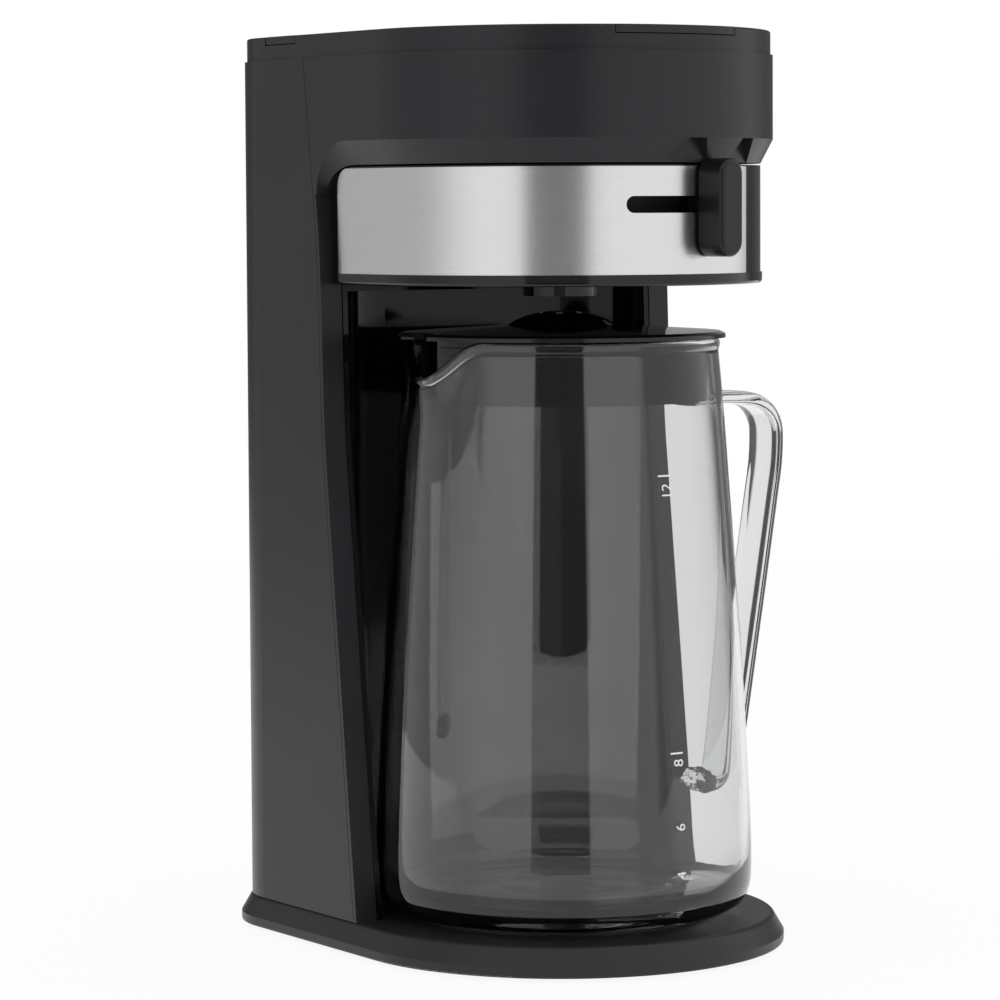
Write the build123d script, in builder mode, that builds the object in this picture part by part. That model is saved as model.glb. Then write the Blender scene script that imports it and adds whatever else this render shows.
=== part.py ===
from build123d import *
import os
from math import cos, radians, sin

# An iced coffee maker: a column with a water tank and heater at the back, a head with a
# steeping drawer at the front, and a glass jug that stands on the base below it.
# +X is to the right as seen from the front, -Y is the front and +Z is up. Millimetres.

os.makedirs("parts", exist_ok=True)

# Heights, stacked up from the table: the base, the jug, the drawer, the head and its band
foot_drop = 1.5
base_rim_z = 5.5
base_top_z = 13.2
landing_height = 2.0
jug_lift = 0.1
jug_height = 232.5
jug_head_room = 21.9
drawer_height = 48.3
bevel_height = 9.6
head_height = 33.8
band_height = 9.6
jug_bottom_z = base_top_z + landing_height + jug_lift
jug_rim_z = jug_bottom_z + jug_height
bay_floor_z = jug_rim_z + jug_head_room
head_lip_z = bay_floor_z + drawer_height
bevel_top_z = head_lip_z + bevel_height
band_z = bevel_top_z + head_height
top_z = band_z + band_height

# Plan outline of the body: a half round front, straight sides and round rear corners
body_width = 172.5
brew_y = -23.0
body_back_y = 108.0
rear_corner_r = 36.0
wall = 2.5
base_flare = 4.5
bevel_depth = 5.0
seam_gap = 0.3
half_width = body_width / 2

# Front edge of the rear housing, seen from the side, as (y, z)
seam_top = (34.5, band_z)
seam_bend_high = (24.6, bay_floor_z + 14.3)
seam_bend_low = (21.8, bay_floor_z - 61.7)
seam_bottom = (0.0, base_top_z)
seam_bend_r = 300.0
side_view_front = -200.0

# Column and jug cavity
wing_width = 12.25
wing_thickness = 2.0
liner_wall = 2.2
cavity_back_y = 57.0
cavity_corner_r = 40.0
ceiling_thickness = 2.5
cavity_half = half_width - wing_width
liner_half = cavity_half + liner_wall


def plan(inset, mode=Mode.ADD, back=body_back_y, corner=rear_corner_r):
    """Draws the body's outline, drawn in by inset, in the sketch that is open."""
    half = half_width - inset
    rear = back - inset if back == body_back_y else back
    rear_r = max(corner - inset, 1.0)
    with BuildLine() as border:
        CenterArc((0, brew_y), half, 180, 180)
        FilletPolyline((half, brew_y), (half, rear), (-half, rear), (-half, brew_y), radius=rear_r)
    make_face(border.edges(), mode=mode)


def in_front_of_seam(shift, low=0.0, high=top_z, front=side_view_front, mode=Mode.ADD):
    """Draws the side view of all that lies in front of the seam line moved back by shift."""
    points = [seam_top, seam_bend_high, seam_bend_low, seam_bottom]
    points = [(y + shift, z) for y, z in points]
    lean = (seam_bend_low[0] - seam_bottom[0]) / (seam_bend_low[1] - seam_bottom[1])
    foot = (points[-1][0] - lean * (base_top_z - low), low)
    crown = (points[0][0], high)
    with BuildLine() as border:
        Line((front, low), foot)
        Line(foot, points[-1])
        FilletPolyline(*points[::-1], radius=seam_bend_r)
        if high > band_z:
            Line(points[0], crown)
        Line(crown, (front, high))
        Line((front, high), (front, low))
    make_face(border.edges(), mode=mode)


def sector(start, end, reach=150.0, mode=Mode.ADD):
    """Draws a wedge about the brewing axis between two angles from the front."""
    with BuildLine() as border:
        Polyline(
            (0, brew_y),
            (reach * sin(radians(start)), brew_y - reach * cos(radians(start))),
            (reach * sin(radians(end)), brew_y - reach * cos(radians(end))),
            (0, brew_y),
        )
    make_face(border.edges(), mode=mode)


def radial_plane(angle, radius, z):
    """A plane that faces out from the brewing axis, at an angle from the front."""
    out = (sin(radians(angle)), -cos(radians(angle)), 0)
    across = (cos(radians(angle)), sin(radians(angle)), 0)
    origin = (radius * out[0], brew_y + radius * out[1], z)
    return Plane(origin=origin, x_dir=across, z_dir=out)


# Base shell: a flared skirt, hollow below, with a raised round landing for the jug
base_wall = 2.5
base_top_fillet = 2.4
landing_r = half_width - 24.25
jug_axis_y = -24.0
screw_clear_r = 1.7
boss_r = 4.0
hose_hole = (40.0, 22.0)
cover_thickness = 2.0
cover_lift = 0.6
cover_gap = 0.3
cover_bottom_z = foot_drop + cover_lift
cover_top_z = cover_bottom_z + cover_thickness
boss_points = [(-62, -40), (62, -40), (-50, 84), (50, 84), (0, 30)]
with BuildPart() as base_shell:
    with BuildSketch(Plane.XY.offset(foot_drop)):
        plan(-base_flare)
    extrude(amount=base_rim_z - foot_drop)
    with BuildSketch(Plane.XY.offset(base_rim_z)):
        plan(-base_flare)
    with BuildSketch(Plane.XY.offset(base_top_z)):
        plan(0)
    loft(ruled=True)
    fillet(base_shell.edges().group_by(Axis.Z)[-1], base_top_fillet)
    fillet(base_shell.edges().group_by(Axis.Z)[0], 1.0)
    with BuildSketch(Plane.XY.offset(base_top_z)):
        with Locations((0, jug_axis_y)):
            Circle(landing_r)
    extrude(amount=landing_height)
    chamfer(base_shell.edges().group_by(Axis.Z)[-1], 1.2)
    with BuildSketch(Plane.XY.offset(foot_drop)):
        plan(base_wall - base_flare)
    extrude(amount=base_rim_z - foot_drop, mode=Mode.SUBTRACT)
    with BuildSketch(Plane.XY.offset(base_rim_z)):
        plan(base_wall)
    extrude(amount=base_top_z - base_wall - base_rim_z, mode=Mode.SUBTRACT)
    with BuildSketch(Plane.XY.offset(cover_top_z)):
        with Locations(*boss_points):
            Circle(boss_r)
    extrude(until=Until.NEXT)
    with BuildSketch(Plane.XY.offset(cover_top_z)):
        with Locations(*boss_points):
            Circle(screw_clear_r)
    extrude(amount=base_top_z - base_wall - cover_top_z, mode=Mode.SUBTRACT)
    with BuildSketch(Plane.XY.offset(foot_drop)):
        with Locations((0, body_back_y - hose_hole[1])):
            Rectangle(*hose_hole)
    extrude(amount=base_top_z, mode=Mode.SUBTRACT)
base_shell.part.label = "base_shell"
export_step(base_shell.part, "parts/base_shell.step")

# Bottom cover: a plate inside the skirt with vent slots and pockets for the feet
foot_length = 34.0
foot_width = 14.0
foot_pocket = 0.8
foot_points = [(0, -94, 0), (-72, 57, 90), (72, 57, 90), (0, 95, 0), (0, 0, 0)]
vent_count = 7
vent_pitch = 8.0
vent_size = (3.0, 34.0)
vent_y = 62.0
with BuildPart() as base_cover:
    with BuildSketch(Plane.XY.offset(cover_bottom_z)):
        plan(base_wall - base_flare + cover_gap)
    extrude(amount=cover_thickness)
    with BuildSketch(Plane.XY.offset(cover_bottom_z)):
        with Locations((0, vent_y)):
            with GridLocations(vent_pitch, 1, vent_count, 1):
                SlotOverall(vent_size[1], vent_size[0], rotation=90)
    extrude(amount=cover_thickness, mode=Mode.SUBTRACT)
    for x, y, turn in foot_points:
        with BuildSketch(Plane.XY.offset(cover_bottom_z)):
            with Locations((x, y)):
                SlotOverall(foot_length + 2 * cover_gap, foot_width + 2 * cover_gap, rotation=turn)
        extrude(amount=foot_pocket, mode=Mode.SUBTRACT)
    with Locations(*[Location((x, y, cover_bottom_z), (180, 0, 0)) for x, y in boss_points]):
        CounterSinkHole(screw_clear_r, boss_r - 1.0, cover_thickness)
base_cover.part.label = "base_cover"
export_step(base_cover.part, "parts/base_cover.step")

# Rubber feet, seated in the cover's pockets, with one at the origin of the frame
foot_chamfer = 0.5
with BuildPart() as base_feet:
    for x, y, turn in foot_points:
        with BuildSketch(Plane.XY):
            with Locations((x, y)):
                SlotOverall(foot_length, foot_width, rotation=turn)
        extrude(amount=cover_bottom_z + foot_pocket)
    chamfer(base_feet.edges().group_by(Axis.Z)[0], foot_chamfer)
base_feet.part.label = "base_feet"
export_step(base_feet.part, "parts/base_feet.step")

# Screws that hold the bottom cover to the bosses
screw_r = 1.5
screw_length = 8.0
screw_head_r = 2.8
with BuildPart() as cover_screws:
    with BuildSketch(Plane.XZ):
        with BuildLine():
            Polyline(
                (0, cover_bottom_z), (screw_head_r, cover_bottom_z),
                (screw_r, cover_bottom_z + screw_head_r - screw_r),
                (screw_r, cover_bottom_z + screw_length), (0, cover_bottom_z + screw_length),
                (0, cover_bottom_z),
            )
        make_face()
    screw = revolve(axis=Axis.Z, mode=Mode.PRIVATE)
    with Locations(*[(x, y, 0) for x, y in boss_points]):
        add(screw)
cover_screws.part.label = "cover_screws"
export_step(cover_screws.part, "parts/cover_screws.step")

# Rear housing: the satin sides and back in one U-shaped shell
button_spot = (62.0, 62.0)
button_hole_r = 9.5
lens_spot = (62.0, 88.0)
lens_hole_r = 3.1
cord_spot = (-46.0, 34.0)
cord_hole_r = 7.0
with BuildPart() as rear_housing:
    with BuildSketch(Plane.XY.offset(base_top_z)):
        plan(0)
        plan(wall, mode=Mode.SUBTRACT)
    extrude(amount=band_z - base_top_z)
    with BuildSketch(Plane.YZ):
        in_front_of_seam(seam_gap)
    extrude(amount=body_width, both=True, mode=Mode.SUBTRACT)
    with BuildSketch(Plane.YZ.offset(half_width - 2 * wall)):
        with Locations(button_spot):
            Circle(button_hole_r)
        with Locations(lens_spot):
            Circle(lens_hole_r)
    extrude(amount=3 * wall, mode=Mode.SUBTRACT)
    with BuildSketch(Plane.XZ.offset(-body_back_y - wall)):
        with Locations(cord_spot):
            Circle(cord_hole_r)
    extrude(amount=3 * wall, mode=Mode.SUBTRACT)
rear_housing.part.label = "rear_housing"
export_step(rear_housing.part, "parts/rear_housing.step")

# Head shell: the front moulding, with a bevelled lip round the drawer, two pointer
# pockets above the lever, the ceiling over the drawer and the two wings down to the base
ceiling_plate = 2.5
bay_back_y = 60.0
bay_wall = 2.0
spray_hole_r = 38.5
lip_corner_y = 3.5
lip_corner_r = 21.3
pocket_angles = (4.6, 25.4)
pocket_top = 8.6
pocket_bottom = 17.0
pocket_floor_r = half_width - 5.65
flange_x = liner_half + seam_gap
flange_width = half_width - flange_x
lip_corner_z = bevel_top_z - lip_corner_r
lip_drop = head_lip_z - lip_corner_z
quarter_turn = 90


def lip_corner(height, shrink=0.0, mode=Mode.ADD):
    """Draws the quarter oval that rounds the lip down to the seam, in the side view."""
    long = lip_corner_r - shrink
    tall = height - shrink
    with BuildLine() as border:
        Line((lip_corner_y, lip_corner_z), (lip_corner_y + long, lip_corner_z))
        EllipticalCenterArc((lip_corner_y, lip_corner_z), long, tall, 0, arc_size=quarter_turn)
        Line((lip_corner_y, lip_corner_z + tall), (lip_corner_y, lip_corner_z))
    make_face(border.edges(), mode=mode)


with BuildPart() as head_shell:
    with BuildSketch(Plane.XY.offset(bevel_top_z)):
        plan(0)
    extrude(amount=band_z - bevel_top_z)
    with BuildSketch(Plane.XY.offset(head_lip_z)):
        plan(bevel_depth)
    with BuildSketch(Plane.XY.offset(bevel_top_z)):
        plan(0)
    loft(ruled=True)
    with BuildSketch(Plane.XY.offset(head_lip_z + ceiling_plate)):
        plan(bevel_depth + wall)
    extrude(amount=bevel_top_z - head_lip_z - ceiling_plate, mode=Mode.SUBTRACT)
    with BuildSketch(Plane.XY.offset(bevel_top_z)):
        plan(wall)
    extrude(amount=band_z - bevel_top_z, mode=Mode.SUBTRACT)
    with BuildSketch(Plane.YZ):
        with Locations((0, top_z / 2)):
            Rectangle(3 * body_width, 2 * top_z)
        in_front_of_seam(0, low=-top_z, high=2 * top_z, mode=Mode.SUBTRACT)
    extrude(amount=body_width, both=True, mode=Mode.SUBTRACT)
    with BuildSketch(Plane.XY.offset(head_lip_z)):
        with Locations((0, lip_corner_y)):
            Rectangle(2 * flange_x, bay_back_y + bay_wall - lip_corner_y, align=(Align.CENTER, Align.MIN))
    extrude(amount=ceiling_plate)
    for side in (-1, 1):
        with BuildSketch(Plane.YZ.offset(side * flange_x)):
            in_front_of_seam(0)
            in_front_of_seam(-wing_thickness, mode=Mode.SUBTRACT)
            with Locations((0, (base_top_z + head_lip_z) / 2)):
                Rectangle(body_width, head_lip_z - base_top_z, mode=Mode.INTERSECT)
        extrude(amount=side * flange_width)
        with BuildSketch(Plane.YZ.offset(side * flange_x)):
            with Locations((lip_corner_y, lip_corner_z)):
                Rectangle(2 * lip_corner_r, lip_corner_r, align=(Align.MIN, Align.MIN))
            in_front_of_seam(0, mode=Mode.INTERSECT)
        extrude(amount=side * flange_width)
        with BuildSketch(Plane.YZ.offset(side * half_width)):
            lip_corner(lip_corner_r)
        with BuildSketch(Plane.YZ.offset(side * (half_width - bevel_depth))):
            lip_corner(lip_drop)
        loft(ruled=True, mode=Mode.SUBTRACT)
        with BuildSketch(Plane.YZ.offset(side * (half_width - bevel_depth))):
            lip_corner(lip_drop)
        extrude(amount=-side * bevel_depth, mode=Mode.SUBTRACT)
    for angle in pocket_angles:
        with BuildSketch(radial_plane(angle, pocket_floor_r, head_lip_z)):
            with BuildLine():
                Polyline(
                    (-pocket_bottom / 2, 0), (pocket_bottom / 2, 0),
                    (pocket_top / 2, bevel_top_z - head_lip_z),
                    (-pocket_top / 2, bevel_top_z - head_lip_z), (-pocket_bottom / 2, 0),
                )
            make_face()
        extrude(amount=2 * bevel_depth, mode=Mode.SUBTRACT)
    with BuildSketch(Plane.XY.offset(head_lip_z)):
        with Locations((0, brew_y)):
            Circle(spray_hole_r)
    extrude(amount=ceiling_plate, mode=Mode.SUBTRACT)
head_shell.part.label = "head_shell"
export_step(head_shell.part, "parts/head_shell.step")


def cavity(grow, half=cavity_half, back=cavity_back_y, corner=cavity_corner_r, mode=Mode.ADD):
    """Draws the plan of a hollow that is open to the front, grown by grow."""
    side = half + grow
    with BuildLine() as border:
        FilletPolyline(
            (-side, brew_y), (-side, back + grow), (side, back + grow), (side, brew_y),
            radius=corner + grow,
        )
        Line((side, brew_y), (-side, brew_y))
    make_face(border.edges(), mode=mode)


# Cavity liner: the glossy concave wall behind the jug, with the ceiling over its back
with BuildPart() as cavity_liner:
    with BuildSketch(Plane.XY.offset(base_top_z)):
        cavity(liner_wall)
        cavity(0, mode=Mode.SUBTRACT)
    extrude(amount=bay_floor_z - base_top_z)
    with BuildSketch(Plane.XY.offset(bay_floor_z - ceiling_thickness)):
        cavity(0)
    extrude(amount=ceiling_thickness)
    with BuildSketch(Plane.YZ):
        in_front_of_seam(-wing_thickness)
    extrude(amount=body_width, both=True, mode=Mode.SUBTRACT)
cavity_liner.part.label = "cavity_liner"
export_step(cavity_liner.part, "parts/cavity_liner.step")

# Bay liner: the walls beside and behind the drawer
bay_corner_r = 10.0
bay_bottom_z = bay_floor_z
bay_top_z = head_lip_z
bay_half = flange_x - seam_gap - bay_wall
with BuildPart() as bay_liner:
    with BuildSketch(Plane.XY.offset(bay_bottom_z)):
        cavity(bay_wall, bay_half, bay_back_y, bay_corner_r)
        cavity(0, bay_half, bay_back_y, bay_corner_r, mode=Mode.SUBTRACT)
    extrude(amount=bay_top_z - bay_bottom_z)
    with BuildSketch(Plane.YZ):
        in_front_of_seam(-wing_thickness)
    extrude(amount=body_width, both=True, mode=Mode.SUBTRACT)
bay_liner.part.label = "bay_liner"
export_step(bay_liner.part, "parts/bay_liner.step")

# Drawer rails: two shelves on the bay's walls that the drawer's runners slide along
rail_z = bay_floor_z + 15.0
rail_height = 3.0
rail_depth = 4.0
rail_front_y = 27.0
rail_back_y = bay_back_y - bay_wall - bay_corner_r
with BuildPart() as drawer_rails:
    for side in (-1, 1):
        with BuildSketch(Plane.XY.offset(rail_z)):
            with Locations((side * (bay_half - rail_depth / 2), rail_front_y)):
                Rectangle(rail_depth, rail_back_y - rail_front_y, align=(Align.CENTER, Align.MIN))
        extrude(amount=rail_height)
drawer_rails.part.label = "drawer_rails"
export_step(drawer_rails.part, "parts/drawer_rails.step")

# Top frame: the band round the top, with the mouth, the lid's recess and a rear deck
frame_inset = 1.0
lid_thickness = 3.2
lid_inset = 5.6
lid_gap = 0.4
mouth_inset = 9.0
mouth_back_y = 58.0
hinge_y = 64.5
hinge_rod_r = 0.8
rod_clearance = 0.04
knuckle_half = 40.0
ear_front_y = 42.4
tab_half_width = 28.3
tab_reach = 12.0
deck_thickness = 3.0
lid_bottom_z = top_z - lid_thickness
hinge_z = top_z - lid_thickness / 2
knuckle_r = lid_thickness / 2
deck_front_y = hinge_y + knuckle_r + lid_gap
with BuildPart() as top_frame:
    with BuildSketch(Plane.XY.offset(band_z)):
        plan(frame_inset)
    extrude(amount=top_z - band_z)
    fillet(top_frame.edges().group_by(Axis.Z)[-1], 0.8)
    with BuildSketch(Plane.XY.offset(lid_bottom_z - lid_gap)):
        plan(lid_inset - lid_gap, back=deck_front_y, corner=0)
    extrude(amount=lid_thickness + lid_gap, mode=Mode.SUBTRACT)
    with BuildSketch(Plane.XY.offset(band_z)):
        plan(mouth_inset, back=mouth_back_y)
    extrude(amount=top_z - band_z, mode=Mode.SUBTRACT)
    with BuildSketch(Plane.XY.offset(band_z)):
        plan(frame_inset + wall)
        with Locations((0, deck_front_y + deck_thickness - body_width)):
            Rectangle(2 * body_width, 2 * body_width, mode=Mode.SUBTRACT)
    extrude(amount=top_z - deck_thickness - band_z, mode=Mode.SUBTRACT)
    with BuildSketch(Plane.XY.offset(lid_bottom_z - lid_gap)):
        with Locations((0, brew_y - half_width)):
            Rectangle(2 * (tab_half_width + lid_gap), 2 * tab_reach)
        with Locations((0, (ear_front_y - lid_gap + deck_front_y) / 2)):
            Rectangle(body_width, deck_front_y - ear_front_y + lid_gap)
    extrude(amount=lid_thickness + lid_gap, mode=Mode.SUBTRACT)
    with BuildSketch(Plane.YZ.offset(-knuckle_half)):
        with Locations((hinge_y, hinge_z)):
            Circle(knuckle_r)
            Rectangle(deck_front_y - hinge_y + 1, lid_thickness, align=(Align.MIN, Align.CENTER))
    extrude(amount=2 * knuckle_half)
    with BuildSketch(Plane.YZ.offset(-knuckle_half)):
        with Locations((hinge_y, hinge_z)):
            Circle(hinge_rod_r + rod_clearance)
    extrude(amount=2 * knuckle_half, mode=Mode.SUBTRACT)
top_frame.part.label = "top_frame"
export_step(top_frame.part, "parts/top_frame.step")

# Reservoir lid: a flush plate with a finger tab, two side ears and a rim that drops
# into the mouth, hinged on a rod along its back edge
rim_inset = 11.0
rim_wall = 2.0
rim_depth = 4.4
rim_back_y = 56.0
ear_inset = 1.1
with BuildPart() as reservoir_lid:
    with BuildSketch(Plane.XY.offset(lid_bottom_z)):
        plan(lid_inset, back=hinge_y, corner=0)
        with Locations((0, brew_y - half_width)):
            Rectangle(2 * tab_half_width, 2 * tab_reach + 2)
        with Locations((0, ear_front_y)):
            Rectangle(body_width, hinge_y - ear_front_y, align=(Align.CENTER, Align.MIN))
        plan(ear_inset, mode=Mode.INTERSECT)
    extrude(amount=lid_thickness)
    with BuildSketch(Plane.YZ.offset(ear_inset - half_width)):
        with Locations((hinge_y, hinge_z)):
            Circle(knuckle_r)
    extrude(amount=2 * (half_width - ear_inset))
    with BuildSketch(Plane.XY.offset(lid_bottom_z - rim_depth)):
        plan(rim_inset, back=rim_back_y)
        plan(rim_inset + rim_wall, back=rim_back_y - rim_wall, mode=Mode.SUBTRACT)
    extrude(amount=rim_depth)
    with BuildSketch(Plane.XY.offset(lid_bottom_z)):
        with Locations((0, hinge_y - knuckle_r - lid_gap)):
            Rectangle(2 * (knuckle_half + lid_gap), 4 * knuckle_r, align=(Align.CENTER, Align.MIN))
    extrude(amount=lid_thickness, mode=Mode.SUBTRACT)
    with BuildSketch(Plane.YZ.offset(3 - half_width)):
        with Locations((hinge_y, hinge_z)):
            Circle(hinge_rod_r + rod_clearance)
    extrude(amount=2 * half_width - 6, mode=Mode.SUBTRACT)
reservoir_lid.part.label = "reservoir_lid"
export_step(reservoir_lid.part, "parts/reservoir_lid.step")

# Hinge rod through the frame's long knuckle and the lid's two ends
rod_half = half_width - 4.0
with BuildPart() as lid_hinge_rod:
    with BuildSketch(Plane.YZ.offset(-rod_half)):
        with Locations((hinge_y, hinge_z)):
            Circle(hinge_rod_r)
    extrude(amount=2 * rod_half)
lid_hinge_rod.part.label = "lid_hinge_rod"
export_step(lid_hinge_rod.part, "parts/lid_hinge_rod.step")

# Lid seal: a silicone ring round the lid's rim
seal_height = 2.0
seal_width = 1.6
seal_drop = 2.6
seal_inset = rim_inset - seal_width
with BuildPart() as lid_seal:
    with BuildSketch(Plane.XY.offset(lid_bottom_z - seal_drop)):
        plan(seal_inset, back=rim_back_y + seal_width)
        plan(rim_inset, back=rim_back_y, mode=Mode.SUBTRACT)
    extrude(amount=seal_height)
lid_seal.part.label = "lid_seal"
export_step(lid_seal.part, "parts/lid_seal.step")

# Water tank: a basin under the lid, with a hole in its floor over the well at the back
tank_gap = 0.5
tank_wall = 1.8
basin_floor_z = bevel_top_z + 8.4
well_half = 58.0
well_front_y = 64.0
well_bottom_z = base_top_z + 38.8
well_corner_r = 9.0
valve_spot = (-50.0, 83.0)
valve_hole_r = 3.1
basin_inset = wall + tank_gap
tank_top_z = band_z - seam_gap
well_back_y = body_back_y - wall - 3.0
well_middle_y = (well_front_y + well_back_y) / 2
well_depth = well_back_y - well_front_y
with BuildPart() as water_tank:
    with BuildSketch(Plane.XY.offset(basin_floor_z)):
        plan(basin_inset)
    extrude(amount=tank_top_z - basin_floor_z)
    with BuildSketch(Plane.XY.offset(basin_floor_z + tank_wall)):
        plan(basin_inset + tank_wall)
    extrude(amount=tank_top_z - basin_floor_z - tank_wall, mode=Mode.SUBTRACT)
    with BuildSketch(Plane.XY.offset(basin_floor_z)):
        with Locations((0, well_middle_y)):
            RectangleRounded(
                2 * (well_half - tank_wall), well_depth - 2 * tank_wall, well_corner_r - tank_wall
            )
    extrude(amount=tank_wall, mode=Mode.SUBTRACT)
water_tank.part.label = "water_tank"
export_step(water_tank.part, "parts/water_tank.step")

# Tank well: the deep vessel welded under the basin's floor, with the valve's hole in its own
with BuildPart() as tank_well:
    with BuildSketch(Plane.XY.offset(well_bottom_z)):
        with Locations((0, well_middle_y)):
            RectangleRounded(2 * well_half, well_depth, well_corner_r)
    extrude(amount=basin_floor_z - well_bottom_z)
    with BuildSketch(Plane.XY.offset(well_bottom_z + tank_wall)):
        with Locations((0, well_middle_y)):
            RectangleRounded(
                2 * (well_half - tank_wall), well_depth - 2 * tank_wall, well_corner_r - tank_wall
            )
    extrude(amount=basin_floor_z - well_bottom_z - tank_wall, mode=Mode.SUBTRACT)
    with BuildSketch(Plane.XY.offset(well_bottom_z)):
        with Locations(valve_spot):
            Circle(valve_hole_r)
    extrude(amount=tank_wall, mode=Mode.SUBTRACT)
tank_well.part.label = "tank_well"
export_step(tank_well.part, "parts/tank_well.step")

# Outlet valve under the tank, with a neck through its floor and a hose barb
valve_body_r = 6.0
valve_neck_r = 3.0
barb_r = 3.0
valve_body_height = 5.0
barb_length = 7.0
with BuildPart() as tank_valve:
    with BuildSketch(Plane.XY.offset(well_bottom_z - valve_body_height)):
        with Locations(valve_spot):
            Circle(valve_body_r)
    extrude(amount=valve_body_height)
    with BuildSketch(Plane.XY.offset(well_bottom_z)):
        with Locations(valve_spot):
            Circle(valve_neck_r)
    extrude(amount=tank_wall + 1.0)
    with BuildSketch(Plane.XY.offset(well_bottom_z - valve_body_height - barb_length)):
        with Locations(valve_spot):
            Circle(barb_r)
    extrude(amount=barb_length)
tank_valve.part.label = "tank_valve"
export_step(tank_valve.part, "parts/tank_valve.step")

# Heater block: an aluminium extrusion with a water bore below and an element bore above
block_half = 30.0
water_z = base_top_z + 13.8
element_z = water_z + 11.0
bore_block_r = 6.5
water_bore_r = 2.0
element_r = 3.6
element_bore_r = 3.7
nipple_length = 9.0
block_foot_z = base_top_z + 4.8
block_foot_width = 16.0
block_y = valve_spot[1]
with BuildPart() as heater_block:
    with BuildSketch(Plane.YZ.offset(-block_half)):
        with Locations((block_y, water_z), (block_y, element_z)):
            Circle(bore_block_r)
        with Locations((block_y, (water_z + element_z) / 2)):
            Rectangle(bore_block_r * 1.4, element_z - water_z)
        with Locations((block_y, block_foot_z)):
            Rectangle(block_foot_width, 3.0, align=(Align.CENTER, Align.MIN))
            Rectangle(bore_block_r, water_z - block_foot_z, align=(Align.CENTER, Align.MIN))
    extrude(amount=2 * block_half)
    with BuildSketch(Plane.YZ.offset(-block_half - nipple_length)):
        with Locations((block_y, water_z)):
            Circle(barb_r)
    extrude(amount=2 * (block_half + nipple_length))
    with BuildSketch(Plane.YZ.offset(-block_half - nipple_length)):
        with Locations((block_y, water_z)):
            Circle(water_bore_r)
        with Locations((block_y, element_z)):
            Circle(element_bore_r)
    extrude(amount=2 * (block_half + nipple_length), mode=Mode.SUBTRACT)
heater_block.part.label = "heater_block"
export_step(heater_block.part, "parts/heater_block.step")

# Sheathed heating element with its terminal blades
element_overhang = 5.0
blade_size = (6.0, 0.8)
blade_overhang = 11.0
with BuildPart() as heater_element:
    with BuildSketch(Plane.YZ.offset(-block_half - element_overhang)):
        with Locations((block_y, element_z)):
            Circle(element_r)
    extrude(amount=2 * (block_half + element_overhang))
    with BuildSketch(Plane.YZ.offset(-block_half - blade_overhang)):
        with Locations((block_y, element_z)):
            Rectangle(*blade_size)
    extrude(amount=2 * (block_half + blade_overhang))
heater_element.part.label = "heater_element"
export_step(heater_element.part, "parts/heater_element.step")

# Steel saddle that carries the heater block on the base
saddle_half = 24.0
saddle_plate = 1.5
saddle_depth = 34.0
with BuildPart() as heater_saddle:
    for side in (-1, 1):
        with BuildSketch(Plane.XZ.offset(-block_y - saddle_depth / 2)):
            with BuildLine():
                Polyline(
                    (side * saddle_half, base_top_z), (side * (saddle_half + 10), base_top_z),
                    (side * (saddle_half + 10), base_top_z + saddle_plate),
                    (side * (saddle_half + saddle_plate), base_top_z + saddle_plate),
                    (side * (saddle_half + saddle_plate), block_foot_z),
                    (side * (saddle_half - 8), block_foot_z),
                    (side * (saddle_half - 8), block_foot_z - saddle_plate),
                    (side * saddle_half, block_foot_z - saddle_plate),
                    (side * saddle_half, base_top_z),
                )
            make_face()
        extrude(amount=saddle_depth)
heater_saddle.part.label = "heater_saddle"
export_step(heater_saddle.part, "parts/heater_saddle.step")

# Thermostat clipped on the block's front
thermostat_r = 8.0
thermostat_height = 5.0
terminal_x = 4.5
terminal_length = 6.0
with BuildPart() as thermostat:
    with BuildSketch(Plane.XZ.offset(bore_block_r - block_y)):
        with Locations((0, element_z)):
            Circle(thermostat_r)
    extrude(amount=thermostat_height)
    with BuildSketch(Plane.XZ.offset(bore_block_r - block_y + thermostat_height)):
        with Locations((-terminal_x, element_z), (terminal_x, element_z)):
            Rectangle(blade_size[1], blade_size[0])
    extrude(amount=terminal_length)
thermostat.part.label = "thermostat"
export_step(thermostat.part, "parts/thermostat.step")

# Silicone hoses: a short one from the valve to the block and the riser to the spray head
hose_r = 4.6
hose_bore_r = 3.1
hose_bend_r = 9.0
hose_end_gap = 0.3
riser_x = 68.0
riser_bend_r = 14.0
spray_pipe_z = head_lip_z + 10.0
spray_nipple_y = 19.0
riser_turn_y = 50.0
valve_hose_x = -valve_spot[0]


def hose(points, bends, start):
    """Sweeps the hose's ring section along straight runs with round bends."""
    with BuildPart() as tube:
        with BuildLine() as path:
            FilletPolyline(*points, radius=bends)
        with BuildSketch(start):
            Circle(hose_r)
            Circle(hose_bore_r, mode=Mode.SUBTRACT)
        sweep(path=path.wires()[0])
    return tube.part


with BuildPart() as inlet_hose:
    add(hose(
        [(-valve_hose_x, block_y, well_bottom_z - valve_body_height - hose_end_gap),
         (-valve_hose_x, block_y, water_z), (-block_half - hose_end_gap, block_y, water_z)],
        hose_bend_r,
        Plane(
            origin=(-valve_hose_x, block_y, well_bottom_z - valve_body_height - hose_end_gap),
            z_dir=(0, 0, -1),
        ),
    ))
inlet_hose.part.label = "inlet_hose"
export_step(inlet_hose.part, "parts/inlet_hose.step")

with BuildPart() as riser_hose:
    add(hose(
        [(block_half + hose_end_gap, block_y, water_z), (riser_x, block_y, water_z),
         (riser_x, block_y, spray_pipe_z), (riser_x, riser_turn_y, spray_pipe_z),
         (0, riser_turn_y - 8, spray_pipe_z),
         (0, spray_nipple_y, spray_pipe_z)],
        riser_bend_r,
        Plane(origin=(block_half + hose_end_gap, block_y, water_z), z_dir=(1, 0, 0)),
    ))
riser_hose.part.label = "riser_hose"
export_step(riser_hose.part, "parts/riser_hose.step")

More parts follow.
